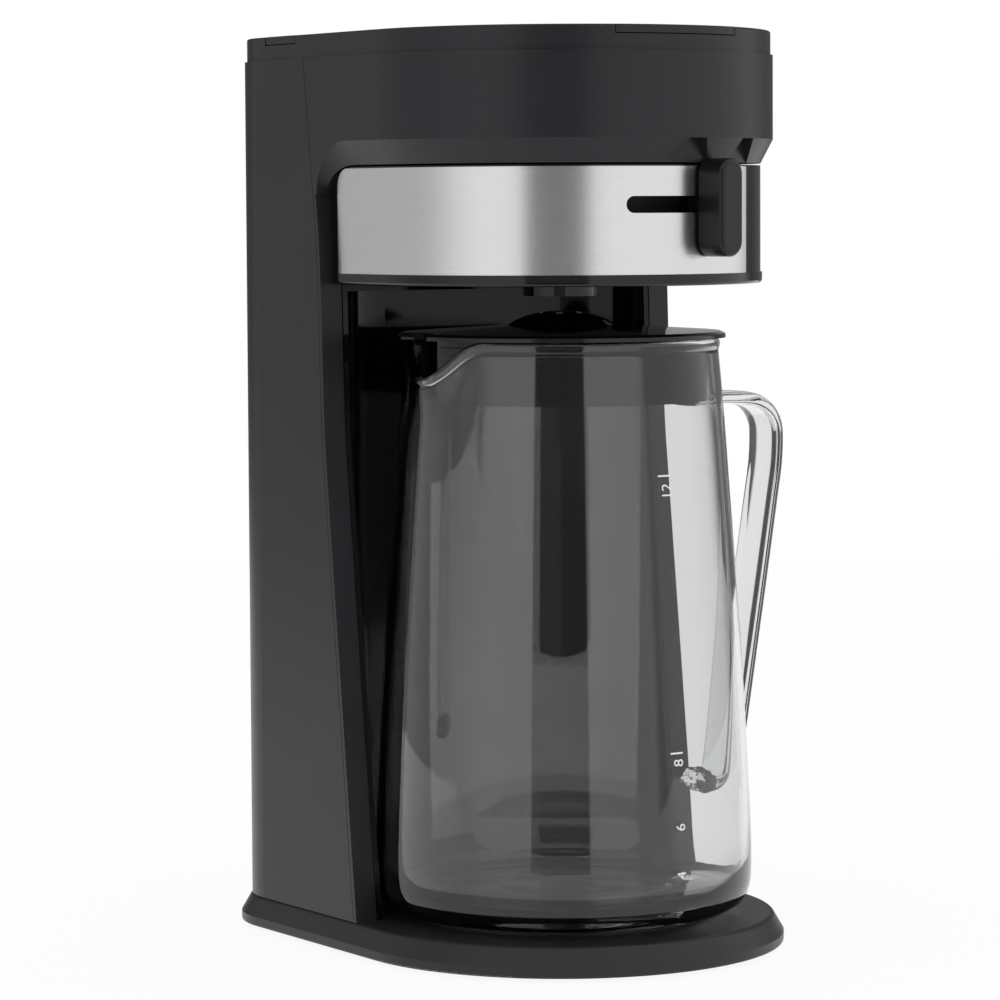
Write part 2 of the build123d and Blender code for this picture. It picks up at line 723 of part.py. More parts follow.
# Spray head: a shallow dish in the ceiling's hole that showers the steeping basket
spray_r = 38.2
spray_flange_r = 42.0
spray_flange = 2.0
spray_dome_r = 30.0
spray_hole_count = 12
spray_ring_r = 24.0
spray_jet_r = 1.2
spray_dome_rise = 4.5
with BuildPart() as spray_head:
    with BuildSketch(Plane.XY.offset(head_lip_z)):
        with Locations((0, brew_y)):
            Circle(spray_r)
    extrude(amount=ceiling_plate)
    with BuildSketch(Plane.XY.offset(head_lip_z + ceiling_plate)):
        with Locations((0, brew_y)):
            Circle(spray_flange_r)
    extrude(amount=spray_flange)
    with BuildSketch(Plane.XY.offset(head_lip_z + ceiling_plate + spray_flange)):
        with Locations((0, brew_y)):
            Circle(spray_dome_r)
    extrude(amount=spray_pipe_z + spray_dome_rise - head_lip_z - ceiling_plate - spray_flange, taper=20)
    with BuildSketch(Plane.XZ.offset(-brew_y)):
        with Locations((0, spray_pipe_z)):
            Circle(barb_r)
    extrude(amount=brew_y - spray_nipple_y - 8.0)
    with BuildSketch(Plane.XY.offset(head_lip_z)):
        with Locations((0, brew_y)):
            with PolarLocations(spray_ring_r, spray_hole_count):
                Circle(spray_jet_r)
            with PolarLocations(spray_ring_r / 2, spray_hole_count // 2):
                Circle(spray_jet_r)
    extrude(amount=ceiling_plate, mode=Mode.SUBTRACT)
spray_head.part.label = "spray_head"
export_step(spray_head.part, "parts/spray_head.step")

# Drawer: a D-shaped tray with a rounded black rim, a recess for the facing, a slot for
# the lever, a cradle for the basket and a spout below
drawer_bottom_z = bay_floor_z + 0.3
lip_gap = 0.8
drawer_top_z = head_lip_z - lip_gap
facing_inset = bevel_depth
facing_thickness = 0.8
facing_gap = 0.05
facing_bottom_z = bay_floor_z + 4.8
facing_top_z = head_lip_z - 1.4
facing_left_y = 16.5
facing_right_angle = 31.2
facing_corner_r = 7.0
facing_cut_angle = 91.0
facing_cut_reach = 300.0
drawer_rim_inset = 4.3
drawer_rim_fillet = 1.6
drawer_step = 1.7
drawer_wall = 2.2
drawer_floor = 2.5
drawer_side_y = 20.0
drawer_tail_half = half_width - 18.25
drawer_tail_y = 54.0
drawer_tail_r = 8.0
slot_bottom_z = bay_floor_z + 28.7
slot_top_z = slot_bottom_z + 6.6
slot_angles = (-13.5, 17.0)
inner_slot_angles = (-15.4, 17.0)
cradle_r = half_width - 20.25
cradle_wall = 2.0
cradle_top_z = bay_floor_z + 39.3
cradle_open_angle = 42.0
runner_gap = 0.3
runner_height = 3.0
runner_clearance = 1.4
runner_front_y = 26.0
runner_set_back = 4.0
runner_back_y = drawer_tail_y - drawer_tail_r - runner_set_back
spout_r = 15.0
spout_wall = 2.0
spout_bottom_z = bay_floor_z - 4.7
port_r = 4.0
port_circle_r = 8.5
slot_z = (slot_bottom_z + slot_top_z) / 2
slot_r = (slot_top_z - slot_bottom_z) / 2
drawer_floor_z = drawer_bottom_z + drawer_floor


def drawer_tray(inset, grow):
    """Draws the tray's plan: a D at the front and a narrower tail that runs into the bay."""
    plan(inset, back=drawer_side_y + grow, corner=inset + 1)
    with Locations((0, brew_y)):
        Rectangle(
            2 * (drawer_tail_half + grow), drawer_tail_y + grow - brew_y, align=(Align.CENTER, Align.MIN)
        )


with BuildPart() as drawer_body:
    with BuildSketch(Plane.XY.offset(drawer_bottom_z)):
        plan(drawer_rim_inset, back=drawer_side_y, corner=drawer_rim_inset + 1)
    extrude(amount=facing_bottom_z - drawer_bottom_z)
    fillet(drawer_body.edges().group_by(Axis.Z)[0], drawer_rim_fillet)
    with BuildSketch(Plane.XY.offset(drawer_bottom_z)):
        drawer_tray(drawer_rim_inset + drawer_step, 0)
    extrude(amount=facing_bottom_z - drawer_bottom_z)
    with BuildSketch(Plane.XY.offset(facing_bottom_z)):
        drawer_tray(facing_inset, 0)
    extrude(amount=drawer_top_z - facing_bottom_z)
    with BuildSketch(Plane.XY.offset(drawer_floor_z)):
        drawer_tray(facing_inset + facing_thickness + drawer_wall, -drawer_wall)
    extrude(amount=drawer_top_z - drawer_floor_z, mode=Mode.SUBTRACT)
    for side in (-1, 1):
        with BuildSketch(Plane.YZ.offset(side * (flange_x - lip_gap))):
            with Locations((lip_corner_y, lip_corner_z)):
                Rectangle(2 * lip_corner_r, lip_corner_r, align=(Align.MIN, Align.MIN))
            lip_corner(lip_drop, lip_gap, mode=Mode.SUBTRACT)
        extrude(amount=side * half_width, mode=Mode.SUBTRACT)
    with BuildSketch(Plane.XY.offset(facing_bottom_z - facing_gap)):
        plan(facing_inset - 1)
        plan(facing_inset + facing_thickness + facing_gap, mode=Mode.SUBTRACT)
        with Locations((0, facing_left_y + facing_gap)):
            Rectangle(2 * body_width, 2 * body_width, align=(Align.CENTER, Align.MIN), mode=Mode.SUBTRACT)
        sector(facing_right_angle, facing_cut_angle, facing_cut_reach, mode=Mode.SUBTRACT)
        with Locations((0, brew_y)):
            Rectangle(body_width, body_width, align=(Align.MIN, Align.MIN), mode=Mode.SUBTRACT)
    extrude(amount=facing_top_z - facing_bottom_z + 2 * facing_gap, mode=Mode.SUBTRACT)
    with BuildSketch(Plane.XY.offset(slot_bottom_z)):
        sector(*inner_slot_angles)
    extrude(amount=slot_top_z - slot_bottom_z, mode=Mode.SUBTRACT)
    with BuildSketch(Plane.XY.offset(drawer_floor_z)):
        with Locations((0, brew_y)):
            Circle(cradle_r + cradle_wall)
            Circle(cradle_r, mode=Mode.SUBTRACT)
        sector(-cradle_open_angle, cradle_open_angle, mode=Mode.SUBTRACT)
    extrude(amount=cradle_top_z - drawer_floor_z)
    for side in (-1, 1):
        with BuildSketch(Plane.XY.offset(rail_z + rail_height + runner_gap)):
            with Locations((side * drawer_tail_half, runner_front_y)):
                Rectangle(
                    2 * (bay_half - drawer_tail_half - runner_clearance), runner_back_y - runner_front_y,
                    align=(Align.CENTER, Align.MIN),
                )
        extrude(amount=runner_height)
    with BuildSketch(Plane.XY.offset(spout_bottom_z)):
        with Locations((0, brew_y)):
            Circle(spout_r)
            Circle(spout_r - spout_wall, mode=Mode.SUBTRACT)
    extrude(amount=drawer_bottom_z - spout_bottom_z)
    with BuildSketch(Plane.XY.offset(drawer_bottom_z)):
        with Locations((0, brew_y)):
            with PolarLocations(port_circle_r, 2):
                Circle(port_r)
    extrude(amount=drawer_floor, mode=Mode.SUBTRACT)
drawer_body.part.label = "drawer_body"
export_step(drawer_body.part, "parts/drawer_body.step")

# Brushed steel facing round the drawer's front, with the lever's slot
with BuildPart() as drawer_facing:
    with BuildSketch(Plane.XY.offset(facing_bottom_z)):
        plan(facing_inset)
        plan(facing_inset + facing_thickness, mode=Mode.SUBTRACT)
        with Locations((0, facing_left_y)):
            Rectangle(2 * body_width, 2 * body_width, align=(Align.CENTER, Align.MIN), mode=Mode.SUBTRACT)
        sector(facing_right_angle, facing_cut_angle, facing_cut_reach, mode=Mode.SUBTRACT)
        with Locations((0, brew_y)):
            Rectangle(body_width, body_width, align=(Align.MIN, Align.MIN), mode=Mode.SUBTRACT)
    extrude(amount=facing_top_z - facing_bottom_z)
    with BuildSketch(Plane.XY.offset(slot_bottom_z)):
        sector(*slot_angles)
    extrude(amount=slot_top_z - slot_bottom_z, mode=Mode.SUBTRACT)
    for angle in slot_angles:
        with BuildSketch(radial_plane(angle, cradle_r, slot_z)):
            Circle(slot_r)
        extrude(amount=half_width - cradle_r, mode=Mode.SUBTRACT)
    fillet(
        drawer_facing.edges().filter_by(Axis.X).group_by(Axis.Y)[-1].group_by(Axis.Z)[-1],
        facing_corner_r,
    )
drawer_facing.part.label = "drawer_facing"
export_step(drawer_facing.part, "parts/drawer_facing.step")

# Steeping basket: a cup that hangs by its flange on the cradle, with windows in its floor
basket_gap = 0.3
basket_flange_r = cradle_r + 4.0
basket_flange = 2.0
basket_r = cradle_r - 4.0
basket_foot_r = cradle_r - 10.0
basket_wall = 1.8
basket_bottom_z = bay_floor_z + 13.3
basket_window_r = cradle_r - 20.0
basket_hub_r = 9.0
basket_spoke = 4.0
basket_rim_z = cradle_top_z + basket_gap + basket_flange
with BuildPart() as steeping_basket:
    with BuildSketch(Plane.XZ):
        with BuildLine():
            Polyline(
                (0, basket_bottom_z), (basket_foot_r, basket_bottom_z),
                (basket_r, basket_rim_z - basket_flange), (basket_flange_r, basket_rim_z - basket_flange),
                (basket_flange_r, basket_rim_z), (basket_r - basket_wall, basket_rim_z),
                (basket_foot_r - basket_wall, basket_bottom_z + basket_wall),
                (0, basket_bottom_z + basket_wall), (0, basket_bottom_z),
            )
        make_face()
    revolve(axis=Axis.Z)
    with BuildSketch(Plane.XY.offset(basket_bottom_z)):
        Circle(basket_window_r)
        Circle(basket_hub_r, mode=Mode.SUBTRACT)
        with PolarLocations(0, 3):
            Rectangle(2 * basket_window_r, basket_spoke, mode=Mode.SUBTRACT)
    extrude(amount=basket_wall, mode=Mode.SUBTRACT)
steeping_basket.part = steeping_basket.part.moved(Location((0, brew_y, 0)))
steeping_basket.part.label = "steeping_basket"
export_step(steeping_basket.part, "parts/steeping_basket.step")

# Filter disc: perforated steel that lies on the basket's floor
filter_r = basket_foot_r - 3.0
filter_thickness = 0.6
filter_hole_r = 2.0
filter_pitch = 14.0
with BuildPart() as filter_disc:
    with BuildSketch(Plane.XY.offset(basket_bottom_z + basket_wall)):
        with Locations((0, brew_y)):
            Circle(filter_r)
            with HexLocations(filter_pitch / 2, 5, 5):
                Circle(filter_hole_r, mode=Mode.SUBTRACT)
    extrude(amount=filter_thickness)
filter_disc.part.label = "filter_disc"
export_step(filter_disc.part, "parts/filter_disc.step")

# Pivot pin on the drawer's floor, about which the lever and its gate turn
pivot_r = 2.5
pivot_gap = 0.05
gate_thickness = 3.0
arm_thickness = 3.0
gate_lift = 0.2
pivot_head_r = 4.5
pivot_head = 1.4
pivot_fillet = 0.8
arm_z = drawer_floor_z + gate_lift + gate_thickness
pivot_head_z = arm_z + arm_thickness + gate_lift
with BuildPart() as lever_pivot:
    with BuildSketch(Plane.XY.offset(drawer_floor_z)):
        with Locations((0, brew_y)):
            Circle(pivot_r)
    extrude(amount=pivot_head_z - drawer_floor_z)
    with BuildSketch(Plane.XY.offset(pivot_head_z)):
        with Locations((0, brew_y)):
            Circle(pivot_head_r)
    extrude(amount=pivot_head)
    fillet(lever_pivot.edges().group_by(Axis.Z)[-1], pivot_fillet)
lever_pivot.part.label = "lever_pivot"
export_step(lever_pivot.part, "parts/lever_pivot.step")

# Flow gate: a disc over the floor's two ports that the lever turns across them
gate_r = 14.0
with BuildPart() as flow_gate:
    with BuildSketch(Plane.XY.offset(drawer_floor_z + gate_lift)):
        with Locations((0, brew_y)):
            Circle(gate_r)
            Circle(pivot_r + pivot_gap, mode=Mode.SUBTRACT)
            with PolarLocations(port_circle_r, 2):
                Circle(port_r, mode=Mode.SUBTRACT)
    extrude(amount=gate_thickness)
flow_gate.part.label = "flow_gate"
export_step(flow_gate.part, "parts/flow_gate.step")

# Strength lever: a paddle outside the facing, a stem through the slot, and an arm below
# the basket that reaches in to the pivot
lever_angle = 11.0
paddle_width = 12.5
paddle_bottom_z = bay_floor_z + 11.5
paddle_top_z = head_lip_z + 1.6
paddle_rear_r = half_width - 3.85
paddle_front_r = half_width + 8.55
stem_width = 7.0
stem_gap = 0.35
blade_r = half_width - 11.75
blade_thickness = 2.5
arm_width = 9.0
hub_r = 7.5
paddle_fillet = 1.8
stem_corner_r = 1.5
paddle_z = (paddle_bottom_z + paddle_top_z) / 2
paddle_height = paddle_top_z - paddle_bottom_z
with BuildPart() as strength_lever:
    with BuildSketch(radial_plane(lever_angle, paddle_rear_r, paddle_z)):
        SlotOverall(paddle_height, paddle_width, rotation=90)
    extrude(amount=paddle_front_r - paddle_rear_r)
    fillet(strength_lever.faces().sort_by(Axis.Y)[0].edges(), paddle_fillet)
    with BuildSketch(radial_plane(lever_angle, blade_r, slot_z)):
        RectangleRounded(stem_width, slot_top_z - slot_bottom_z - 2 * stem_gap, stem_corner_r)
    extrude(amount=paddle_rear_r - blade_r)
    with BuildSketch(radial_plane(lever_angle, blade_r, arm_z)):
        Rectangle(arm_width, slot_top_z - stem_gap - arm_z, align=(Align.CENTER, Align.MIN))
    extrude(amount=blade_thickness)
    with BuildSketch(radial_plane(lever_angle, 0, arm_z)):
        Rectangle(arm_width, arm_thickness, align=(Align.CENTER, Align.MIN))
    extrude(amount=blade_r + blade_thickness)
    with BuildSketch(Plane.XY.offset(arm_z)):
        with Locations((0, brew_y)):
            Circle(hub_r)
    extrude(amount=arm_thickness)
    with BuildSketch(Plane.XY.offset(arm_z)):
        with Locations((0, brew_y)):
            Circle(pivot_r + pivot_gap)
    extrude(amount=arm_thickness, mode=Mode.SUBTRACT)
strength_lever.part.label = "strength_lever"
export_step(strength_lever.part, "parts/strength_lever.step")

# Glass jug: a tapered bowl with a heavy floor, a pinched spout to the left and a flat
# strap handle to the right
glass_wall = 3.0
glass_floor = 6.0
jug_foot_r = half_width - 9.05
jug_waist_r = half_width - 14.45
jug_rim_r = half_width - 22.95
heel_r = 11.0
punt_r = 48.0
punt_depth = 1.2
spout_low = 52.5
spout_low_x = 4.7 - jug_rim_r
spout_low_r = 2.9
spout_high_x = 1.1 - jug_rim_r
spout_high_r = 11.0
spout_rise = 5.0
lip_start_x = 6.3 - jug_rim_r
lip_slope = 1.75
strap_width = 20.0
strap_thickness = 5.5
strap_top = 26.5
strap_reach = jug_rim_r + 44.7
strap_low_reach = jug_foot_r + 3.2
strap_low = 46.0
strap_top_bend_r = 20.0
strap_low_bend_r = 5.0
strap_end_x = jug_foot_r - 2.8
strap_end = 41.5
joint_r = 6.0
strap_top_z = jug_rim_z - strap_top


def bowl(inset, floor_z, top_z, heel):
    """Draws half of the bowl's section, drawn in by inset, from its floor up."""
    middle_z = (jug_bottom_z + jug_rim_z) / 2
    with BuildLine() as border:
        Line((0, floor_z), (jug_foot_r - inset, floor_z))
        ThreePointArc(
            (jug_foot_r - inset, floor_z), (jug_waist_r - inset, middle_z), (jug_rim_r - inset, top_z)
        )
        Line((jug_rim_r - inset, top_z), (0, top_z))
        Line((0, top_z), (0, floor_z))
    bowl_face = make_face(border.edges())
    fillet(bowl_face.vertices().group_by(Axis.Y)[0].sort_by(Axis.X)[-1], heel)


with BuildPart() as glass_jug:
    with BuildSketch(Plane.XZ):
        bowl(0, jug_bottom_z, jug_rim_z, heel_r)
    revolve(axis=Axis.Z)
    with BuildSketch(Plane.XY.offset(jug_rim_z - spout_low)):
        with Locations((spout_low_x, 0)):
            Circle(spout_low_r)
    with BuildSketch(Plane.XY.offset(jug_rim_z + spout_rise)):
        with Locations((spout_high_x, 0)):
            Circle(spout_high_r)
    loft(ruled=True)
    with BuildLine(Plane.XZ) as strap_path:
        FilletPolyline(
            (jug_rim_r, strap_top_z), (strap_reach, strap_top_z),
            (strap_low_reach, jug_bottom_z + strap_low), (strap_end_x, jug_bottom_z + strap_end),
            radius=[strap_top_bend_r, strap_low_bend_r],
        )
    with BuildSketch(Plane(origin=(jug_rim_r, 0, strap_top_z), x_dir=(0, 1, 0), z_dir=(1, 0, 0))):
        RectangleRounded(strap_width, strap_thickness, strap_thickness / 2 - 0.1)
    sweep(path=strap_path.wires()[0])
    with Locations((strap_end_x + 2, 0, jug_bottom_z + strap_end + 1)):
        Sphere(joint_r)
    with BuildSketch(Plane.XZ):
        bowl(glass_wall, jug_bottom_z + glass_floor, jug_rim_z, heel_r - glass_wall)
    revolve(axis=Axis.Z, mode=Mode.SUBTRACT)
    with BuildSketch(Plane.XY.offset(jug_rim_z - spout_low)):
        with Locations((spout_low_x, 0)):
            Circle(spout_low_r - glass_wall + 0.5)
    with BuildSketch(Plane.XY.offset(jug_rim_z + spout_rise)):
        with Locations((spout_high_x, 0)):
            Circle(spout_high_r - glass_wall + 0.5)
    loft(ruled=True, mode=Mode.SUBTRACT)
    with BuildSketch(Plane.XZ.offset(-strap_reach)):
        with BuildLine():
            Polyline(
                (lip_start_x, jug_rim_z), (lip_start_x - 20, jug_rim_z - 20 * lip_slope),
                (-strap_reach, jug_rim_z - 20 * lip_slope), (-strap_reach, jug_rim_z + spout_rise),
                (0, jug_rim_z + spout_rise), (0, jug_rim_z), (lip_start_x, jug_rim_z),
            )
        make_face()
    extrude(amount=2 * strap_reach, mode=Mode.SUBTRACT)
    with BuildSketch(Plane.XY.offset(jug_bottom_z)):
        Circle(punt_r)
    extrude(amount=punt_depth, taper=30, mode=Mode.SUBTRACT)
glass_jug.part = glass_jug.part.moved(Location((0, jug_axis_y, 0)))
glass_jug.part.label = "glass_jug"
export_step(glass_jug.part, "parts/glass_jug.step")

# Jug lid: a black cap with a domed inlet, a deep skirt and a pouring gap beside a strainer
cap_r = jug_rim_r + 3.3
cap_gap = 0.2
cap_edge = 1.6
cap_shoulder = (2.0, 1.0)
cap_rise = 3.6
cap_dome_r = 19.0
cap_dome = 9.3
cap_dome_step = 2.0
cap_plate = 2.4
cap_edge_fillet = 0.6
skirt_r = jug_rim_r - 4.3
skirt_wall = 2.0
skirt_depth = 25.4
pour_half_angle = 7.6
notch_half_angle = 11.4
notch_r = skirt_r + 1.5
cap_turn = -9.0
strainer_slots = 5
strainer_pitch = 7.0
strainer_slot = (3.0, 15.0)
inlet_hole_r = 2.4
inlet_circle_r = 10.0
inlet_holes = 6
cap_bottom_z = jug_rim_z + cap_gap
cap_top_z = cap_bottom_z + cap_edge


def pour_wedge(half_angle, inner_r):
    """Draws a wedge to the left of the jug's axis, outside a radius."""
    spread = 2 * cap_r * sin(radians(half_angle))
    with BuildLine() as border:
        Polyline((0, 0), (-2 * cap_r, spread), (-2 * cap_r, -spread), (0, 0))
    make_face(border.edges())
    Circle(inner_r, mode=Mode.SUBTRACT)


with BuildPart() as jug_lid:
    with BuildSketch(Plane.YZ):
        with BuildLine():
            Polyline(
                (0, cap_bottom_z), (skirt_r - skirt_wall, cap_bottom_z),
                (skirt_r - skirt_wall, cap_bottom_z - skirt_depth), (skirt_r, cap_bottom_z - skirt_depth),
                (skirt_r, cap_bottom_z), (cap_r, cap_bottom_z), (cap_r, cap_top_z),
                (cap_r - cap_shoulder[0], cap_top_z + cap_shoulder[1]),
                (cap_dome_r + 3, cap_top_z + cap_rise), (cap_dome_r, cap_top_z + cap_rise + cap_dome_step),
            )
            ThreePointArc(
                (cap_dome_r, cap_top_z + cap_rise + cap_dome_step),
                (cap_dome_r * 0.72, cap_top_z + cap_dome * 0.82), (0, cap_top_z + cap_dome),
            )
            Line((0, cap_top_z + cap_dome), (0, cap_bottom_z))
        make_face()
    revolve(axis=Axis.Z)
    rim_edges = jug_lid.edges().filter_by(GeomType.CIRCLE).group_by(SortBy.RADIUS)[-1]
    fillet(rim_edges.sort_by(Axis.Z)[-1], cap_edge_fillet)
    with BuildSketch(Plane.XY.offset(cap_bottom_z)):
        pour_wedge(notch_half_angle, notch_r)
    extrude(amount=cap_edge + cap_rise, mode=Mode.SUBTRACT)
    with BuildSketch(Plane.XY.offset(cap_bottom_z)):
        Circle(cap_dome_r - cap_plate)
    extrude(amount=cap_rise + cap_edge, mode=Mode.SUBTRACT)
    with BuildSketch(Plane.XY.offset(cap_bottom_z)):
        with PolarLocations(inlet_circle_r, inlet_holes):
            Circle(inlet_hole_r)
    extrude(amount=cap_edge + cap_dome, mode=Mode.SUBTRACT)
    with BuildSketch(Plane.XY.offset(cap_bottom_z - skirt_depth)):
        pour_wedge(pour_half_angle, cap_dome_r)
    extrude(amount=skirt_depth, mode=Mode.SUBTRACT)
    with BuildSketch(Plane.YZ):
        with Locations((0, cap_bottom_z - skirt_depth / 2)):
            with GridLocations(strainer_pitch, 1, strainer_slots, 1):
                SlotOverall(strainer_slot[1], strainer_slot[0], rotation=90)
    extrude(amount=cap_r, mode=Mode.SUBTRACT)
jug_lid.part = jug_lid.part.moved(Location((0, jug_axis_y, 0), (0, 0, cap_turn)))
jug_lid.part.label = "jug_lid"
export_step(jug_lid.part, "parts/jug_lid.step")

# Silicone ring round the skirt, just under the rim
gasket_height = 3.0
gasket_drop = 5.5
gasket_gap = 0.3
gasket_r = jug_rim_r - glass_wall - gasket_gap
with BuildPart() as jug_lid_gasket:
    with BuildSketch(Plane.XY.offset(cap_bottom_z - gasket_drop)):
        Circle(gasket_r)
        Circle(skirt_r, mode=Mode.SUBTRACT)
    extrude(amount=gasket_height)
    chamfer(jug_lid_gasket.edges().filter_by(GeomType.CIRCLE).group_by(SortBy.RADIUS)[-1], 0.4)
    with BuildSketch(Plane.XY.offset(cap_bottom_z - gasket_drop)):
        pour_wedge(notch_half_angle, cap_dome_r)
    extrude(amount=gasket_height, mode=Mode.SUBTRACT)
jug_lid_gasket.part = jug_lid_gasket.part.moved(Location((0, jug_axis_y, 0), (0, 0, cap_turn)))
jug_lid_gasket.part.label = "jug_lid_gasket"
export_step(jug_lid_gasket.part, "parts/jug_lid_gasket.step")

# Power button on the right side, with its bezel, switch and pilot lens
button_r = 8.0
button_gap = 0.3
bezel_flange_r = 11.5
bezel_flange = 1.0
bezel_depth = 6.0
button_proud = 2.6
button_depth = 8.0
button_stem_r = 2.5
button_stem = 8.0
button_travel = 2.0
switch_depth = 12.0
switch_size = (14.0, 16.0)
bezel_r = button_hole_r - 0.1
button_back_x = half_width + button_proud - button_depth
switch_face_x = button_back_x - button_travel - 0.5
with BuildPart() as button_bezel:
    with BuildSketch(Plane.YZ.offset(half_width - bezel_depth)):
        with Locations(button_spot):
            Circle(bezel_r)
            Circle(button_r + button_gap, mode=Mode.SUBTRACT)
    extrude(amount=bezel_depth)
    with BuildSketch(Plane.YZ.offset(half_width)):
        with Locations(button_spot):
            Circle(bezel_flange_r)
            Circle(button_r + button_gap, mode=Mode.SUBTRACT)
    extrude(amount=bezel_flange)
    outer_edges = button_bezel.edges().group_by(Axis.X)[-1].filter_by(GeomType.CIRCLE)
    chamfer(outer_edges.sort_by(SortBy.RADIUS)[-1], 0.5)
button_bezel.part.label = "button_bezel"
export_step(button_bezel.part, "parts/button_bezel.step")

with BuildPart() as power_button:
    with BuildSketch(Plane.YZ.offset(button_back_x)):
        with Locations(button_spot):
            Circle(button_r)
    extrude(amount=button_depth)
    fillet(power_button.edges().group_by(Axis.X)[-1], 1.2)
    with BuildSketch(Plane.YZ.offset(button_back_x - button_stem)):
        with Locations(button_spot):
            Circle(button_stem_r)
    extrude(amount=button_stem)
power_button.part.label = "power_button"
export_step(power_button.part, "parts/power_button.step")

with BuildPart() as power_switch:
    with BuildSketch(Plane.YZ.offset(switch_face_x - switch_depth)):
        with Locations(button_spot):
            RectangleRounded(*switch_size, 1.5)
    extrude(amount=switch_depth)
    for side in (-1, 1):
        with BuildSketch(Plane.YZ.offset(switch_face_x - switch_depth / 2)):
            with Locations((button_spot[0], button_spot[1] + side * (button_hole_r + 3.0))):
                Rectangle(switch_size[0] / 2, 2 * button_hole_r - switch_size[1] / 2)
        extrude(amount=half_width - wall - switch_face_x + switch_depth / 2)
    with BuildSketch(Plane.YZ.offset(switch_face_x)):
        with Locations(button_spot):
            Circle(bezel_r + 0.6)
    extrude(amount=half_width, mode=Mode.SUBTRACT)
    with BuildSketch(Plane.YZ.offset(switch_face_x)):
        with Locations(button_spot):
            Circle(button_stem_r + button_gap)
    extrude(amount=-button_stem - button_travel, mode=Mode.SUBTRACT)
power_switch.part.label = "power_switch"
export_step(power_switch.part, "parts/power_switch.step")

lens_flange_r = 4.0
lens_flange = 0.8
with BuildPart() as pilot_lens:
    with BuildSketch(Plane.YZ.offset(half_width - wall - 1.5)):
        with Locations(lens_spot):
            Circle(lens_hole_r - 0.05)
    extrude(amount=wall + 1.5)
    with BuildSketch(Plane.YZ.offset(half_width)):
        with Locations(lens_spot):
            Circle(lens_flange_r)
    extrude(amount=lens_flange)
    fillet(pilot_lens.edges().group_by(Axis.X)[-1], 0.6)
pilot_lens.part.label = "pilot_lens"
export_step(pilot_lens.part, "parts/pilot_lens.step")

# Rubber gland in the back wall, with the bore that a mains lead passes through
gland_bore_r = 3.6
gland_flange_r = 9.5
gland_flange = 2.0
gland_tail = 3.0
with BuildPart() as cord_gland:
    with BuildSketch(Plane.XZ.offset(wall + gland_tail - body_back_y)):
        with Locations(cord_spot):
            Circle(cord_hole_r - 0.05)
    extrude(amount=-wall - gland_tail)
    with BuildSketch(Plane.XZ.offset(-body_back_y)):
        with Locations(cord_spot):
            Circle(gland_flange_r)
    extrude(amount=-gland_flange)
    chamfer(cord_gland.edges().group_by(Axis.Y)[-1], 0.6)
    with BuildSketch(Plane.XZ.offset(wall + gland_tail - body_back_y)):
        with Locations(cord_spot):
            Circle(gland_bore_r)
    extrude(amount=-wall - gland_tail - gland_flange, mode=Mode.SUBTRACT)
cord_gland.part.label = "cord_gland"
export_step(cord_gland.part, "parts/cord_gland.step")
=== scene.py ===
from math import atan2, cos, exp, hypot, pi, radians, sin

import bmesh
import bpy
from mathutils import Matrix, Vector, noise


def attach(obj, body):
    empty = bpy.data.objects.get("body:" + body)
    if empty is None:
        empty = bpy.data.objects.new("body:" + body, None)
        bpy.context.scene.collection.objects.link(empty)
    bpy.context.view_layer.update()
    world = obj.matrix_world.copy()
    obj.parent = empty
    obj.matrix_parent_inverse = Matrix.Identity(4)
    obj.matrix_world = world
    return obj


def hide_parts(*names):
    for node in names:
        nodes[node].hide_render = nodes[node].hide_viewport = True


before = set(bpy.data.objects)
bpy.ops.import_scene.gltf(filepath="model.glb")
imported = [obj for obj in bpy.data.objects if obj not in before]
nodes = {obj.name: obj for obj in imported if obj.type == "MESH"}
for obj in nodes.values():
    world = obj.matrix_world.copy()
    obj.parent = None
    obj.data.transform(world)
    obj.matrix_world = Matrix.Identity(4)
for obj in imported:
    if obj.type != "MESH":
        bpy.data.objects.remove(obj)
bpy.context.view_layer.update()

# Metres per millimetre. The lengths below are in millimetres, as they are in the drawings
MM = 0.001

# The camera that the photograph was taken with, found from the machine's own edges
CAMERA_SPOT = (-926.97, -1380.0, 300.95)
CAMERA_TURN = radians(33.473)
CAMERA_PITCH = radians(4.146)
CAMERA_ROLL = radians(-0.276)
CAMERA_LENS = 145.49
SENSOR_WIDTH = 36.0


class Wire:
    """A socket that takes part in sums: each operator adds the Math node it needs."""

    def __init__(self, board, socket):
        self.board = board
        self.socket = socket

    def math(self, operation, *others, clamp=False):
        values = {0: self}
        for place, other in enumerate(others, 1):
            values[place] = other
        settings = {"operation": operation, "use_clamp": clamp}
        return self.board.node("ShaderNodeMath", settings, values)

    def reflected(self, operation, other):
        return self.board.node("ShaderNodeMath", {"operation": operation}, {0: other, 1: self})

    def __add__(self, other):
        return self.math("ADD", other)

    def __sub__(self, other):
        return self.math("SUBTRACT", other)

    def __mul__(self, other):
        return self.math("MULTIPLY", other)

    def __rsub__(self, other):
        return self.reflected("SUBTRACT", other)

    def __neg__(self):
        return self.math("MULTIPLY", -1.0)

    __radd__ = __add__
    __rmul__ = __mul__

    def step(self, low, high):
        """Rises smoothly from 0 at low to 1 at high."""
        values = {"Value": self, "From Min": low, "From Max": high}
        return self.board.node("ShaderNodeMapRange", {"interpolation_type": "SMOOTHSTEP"}, values)


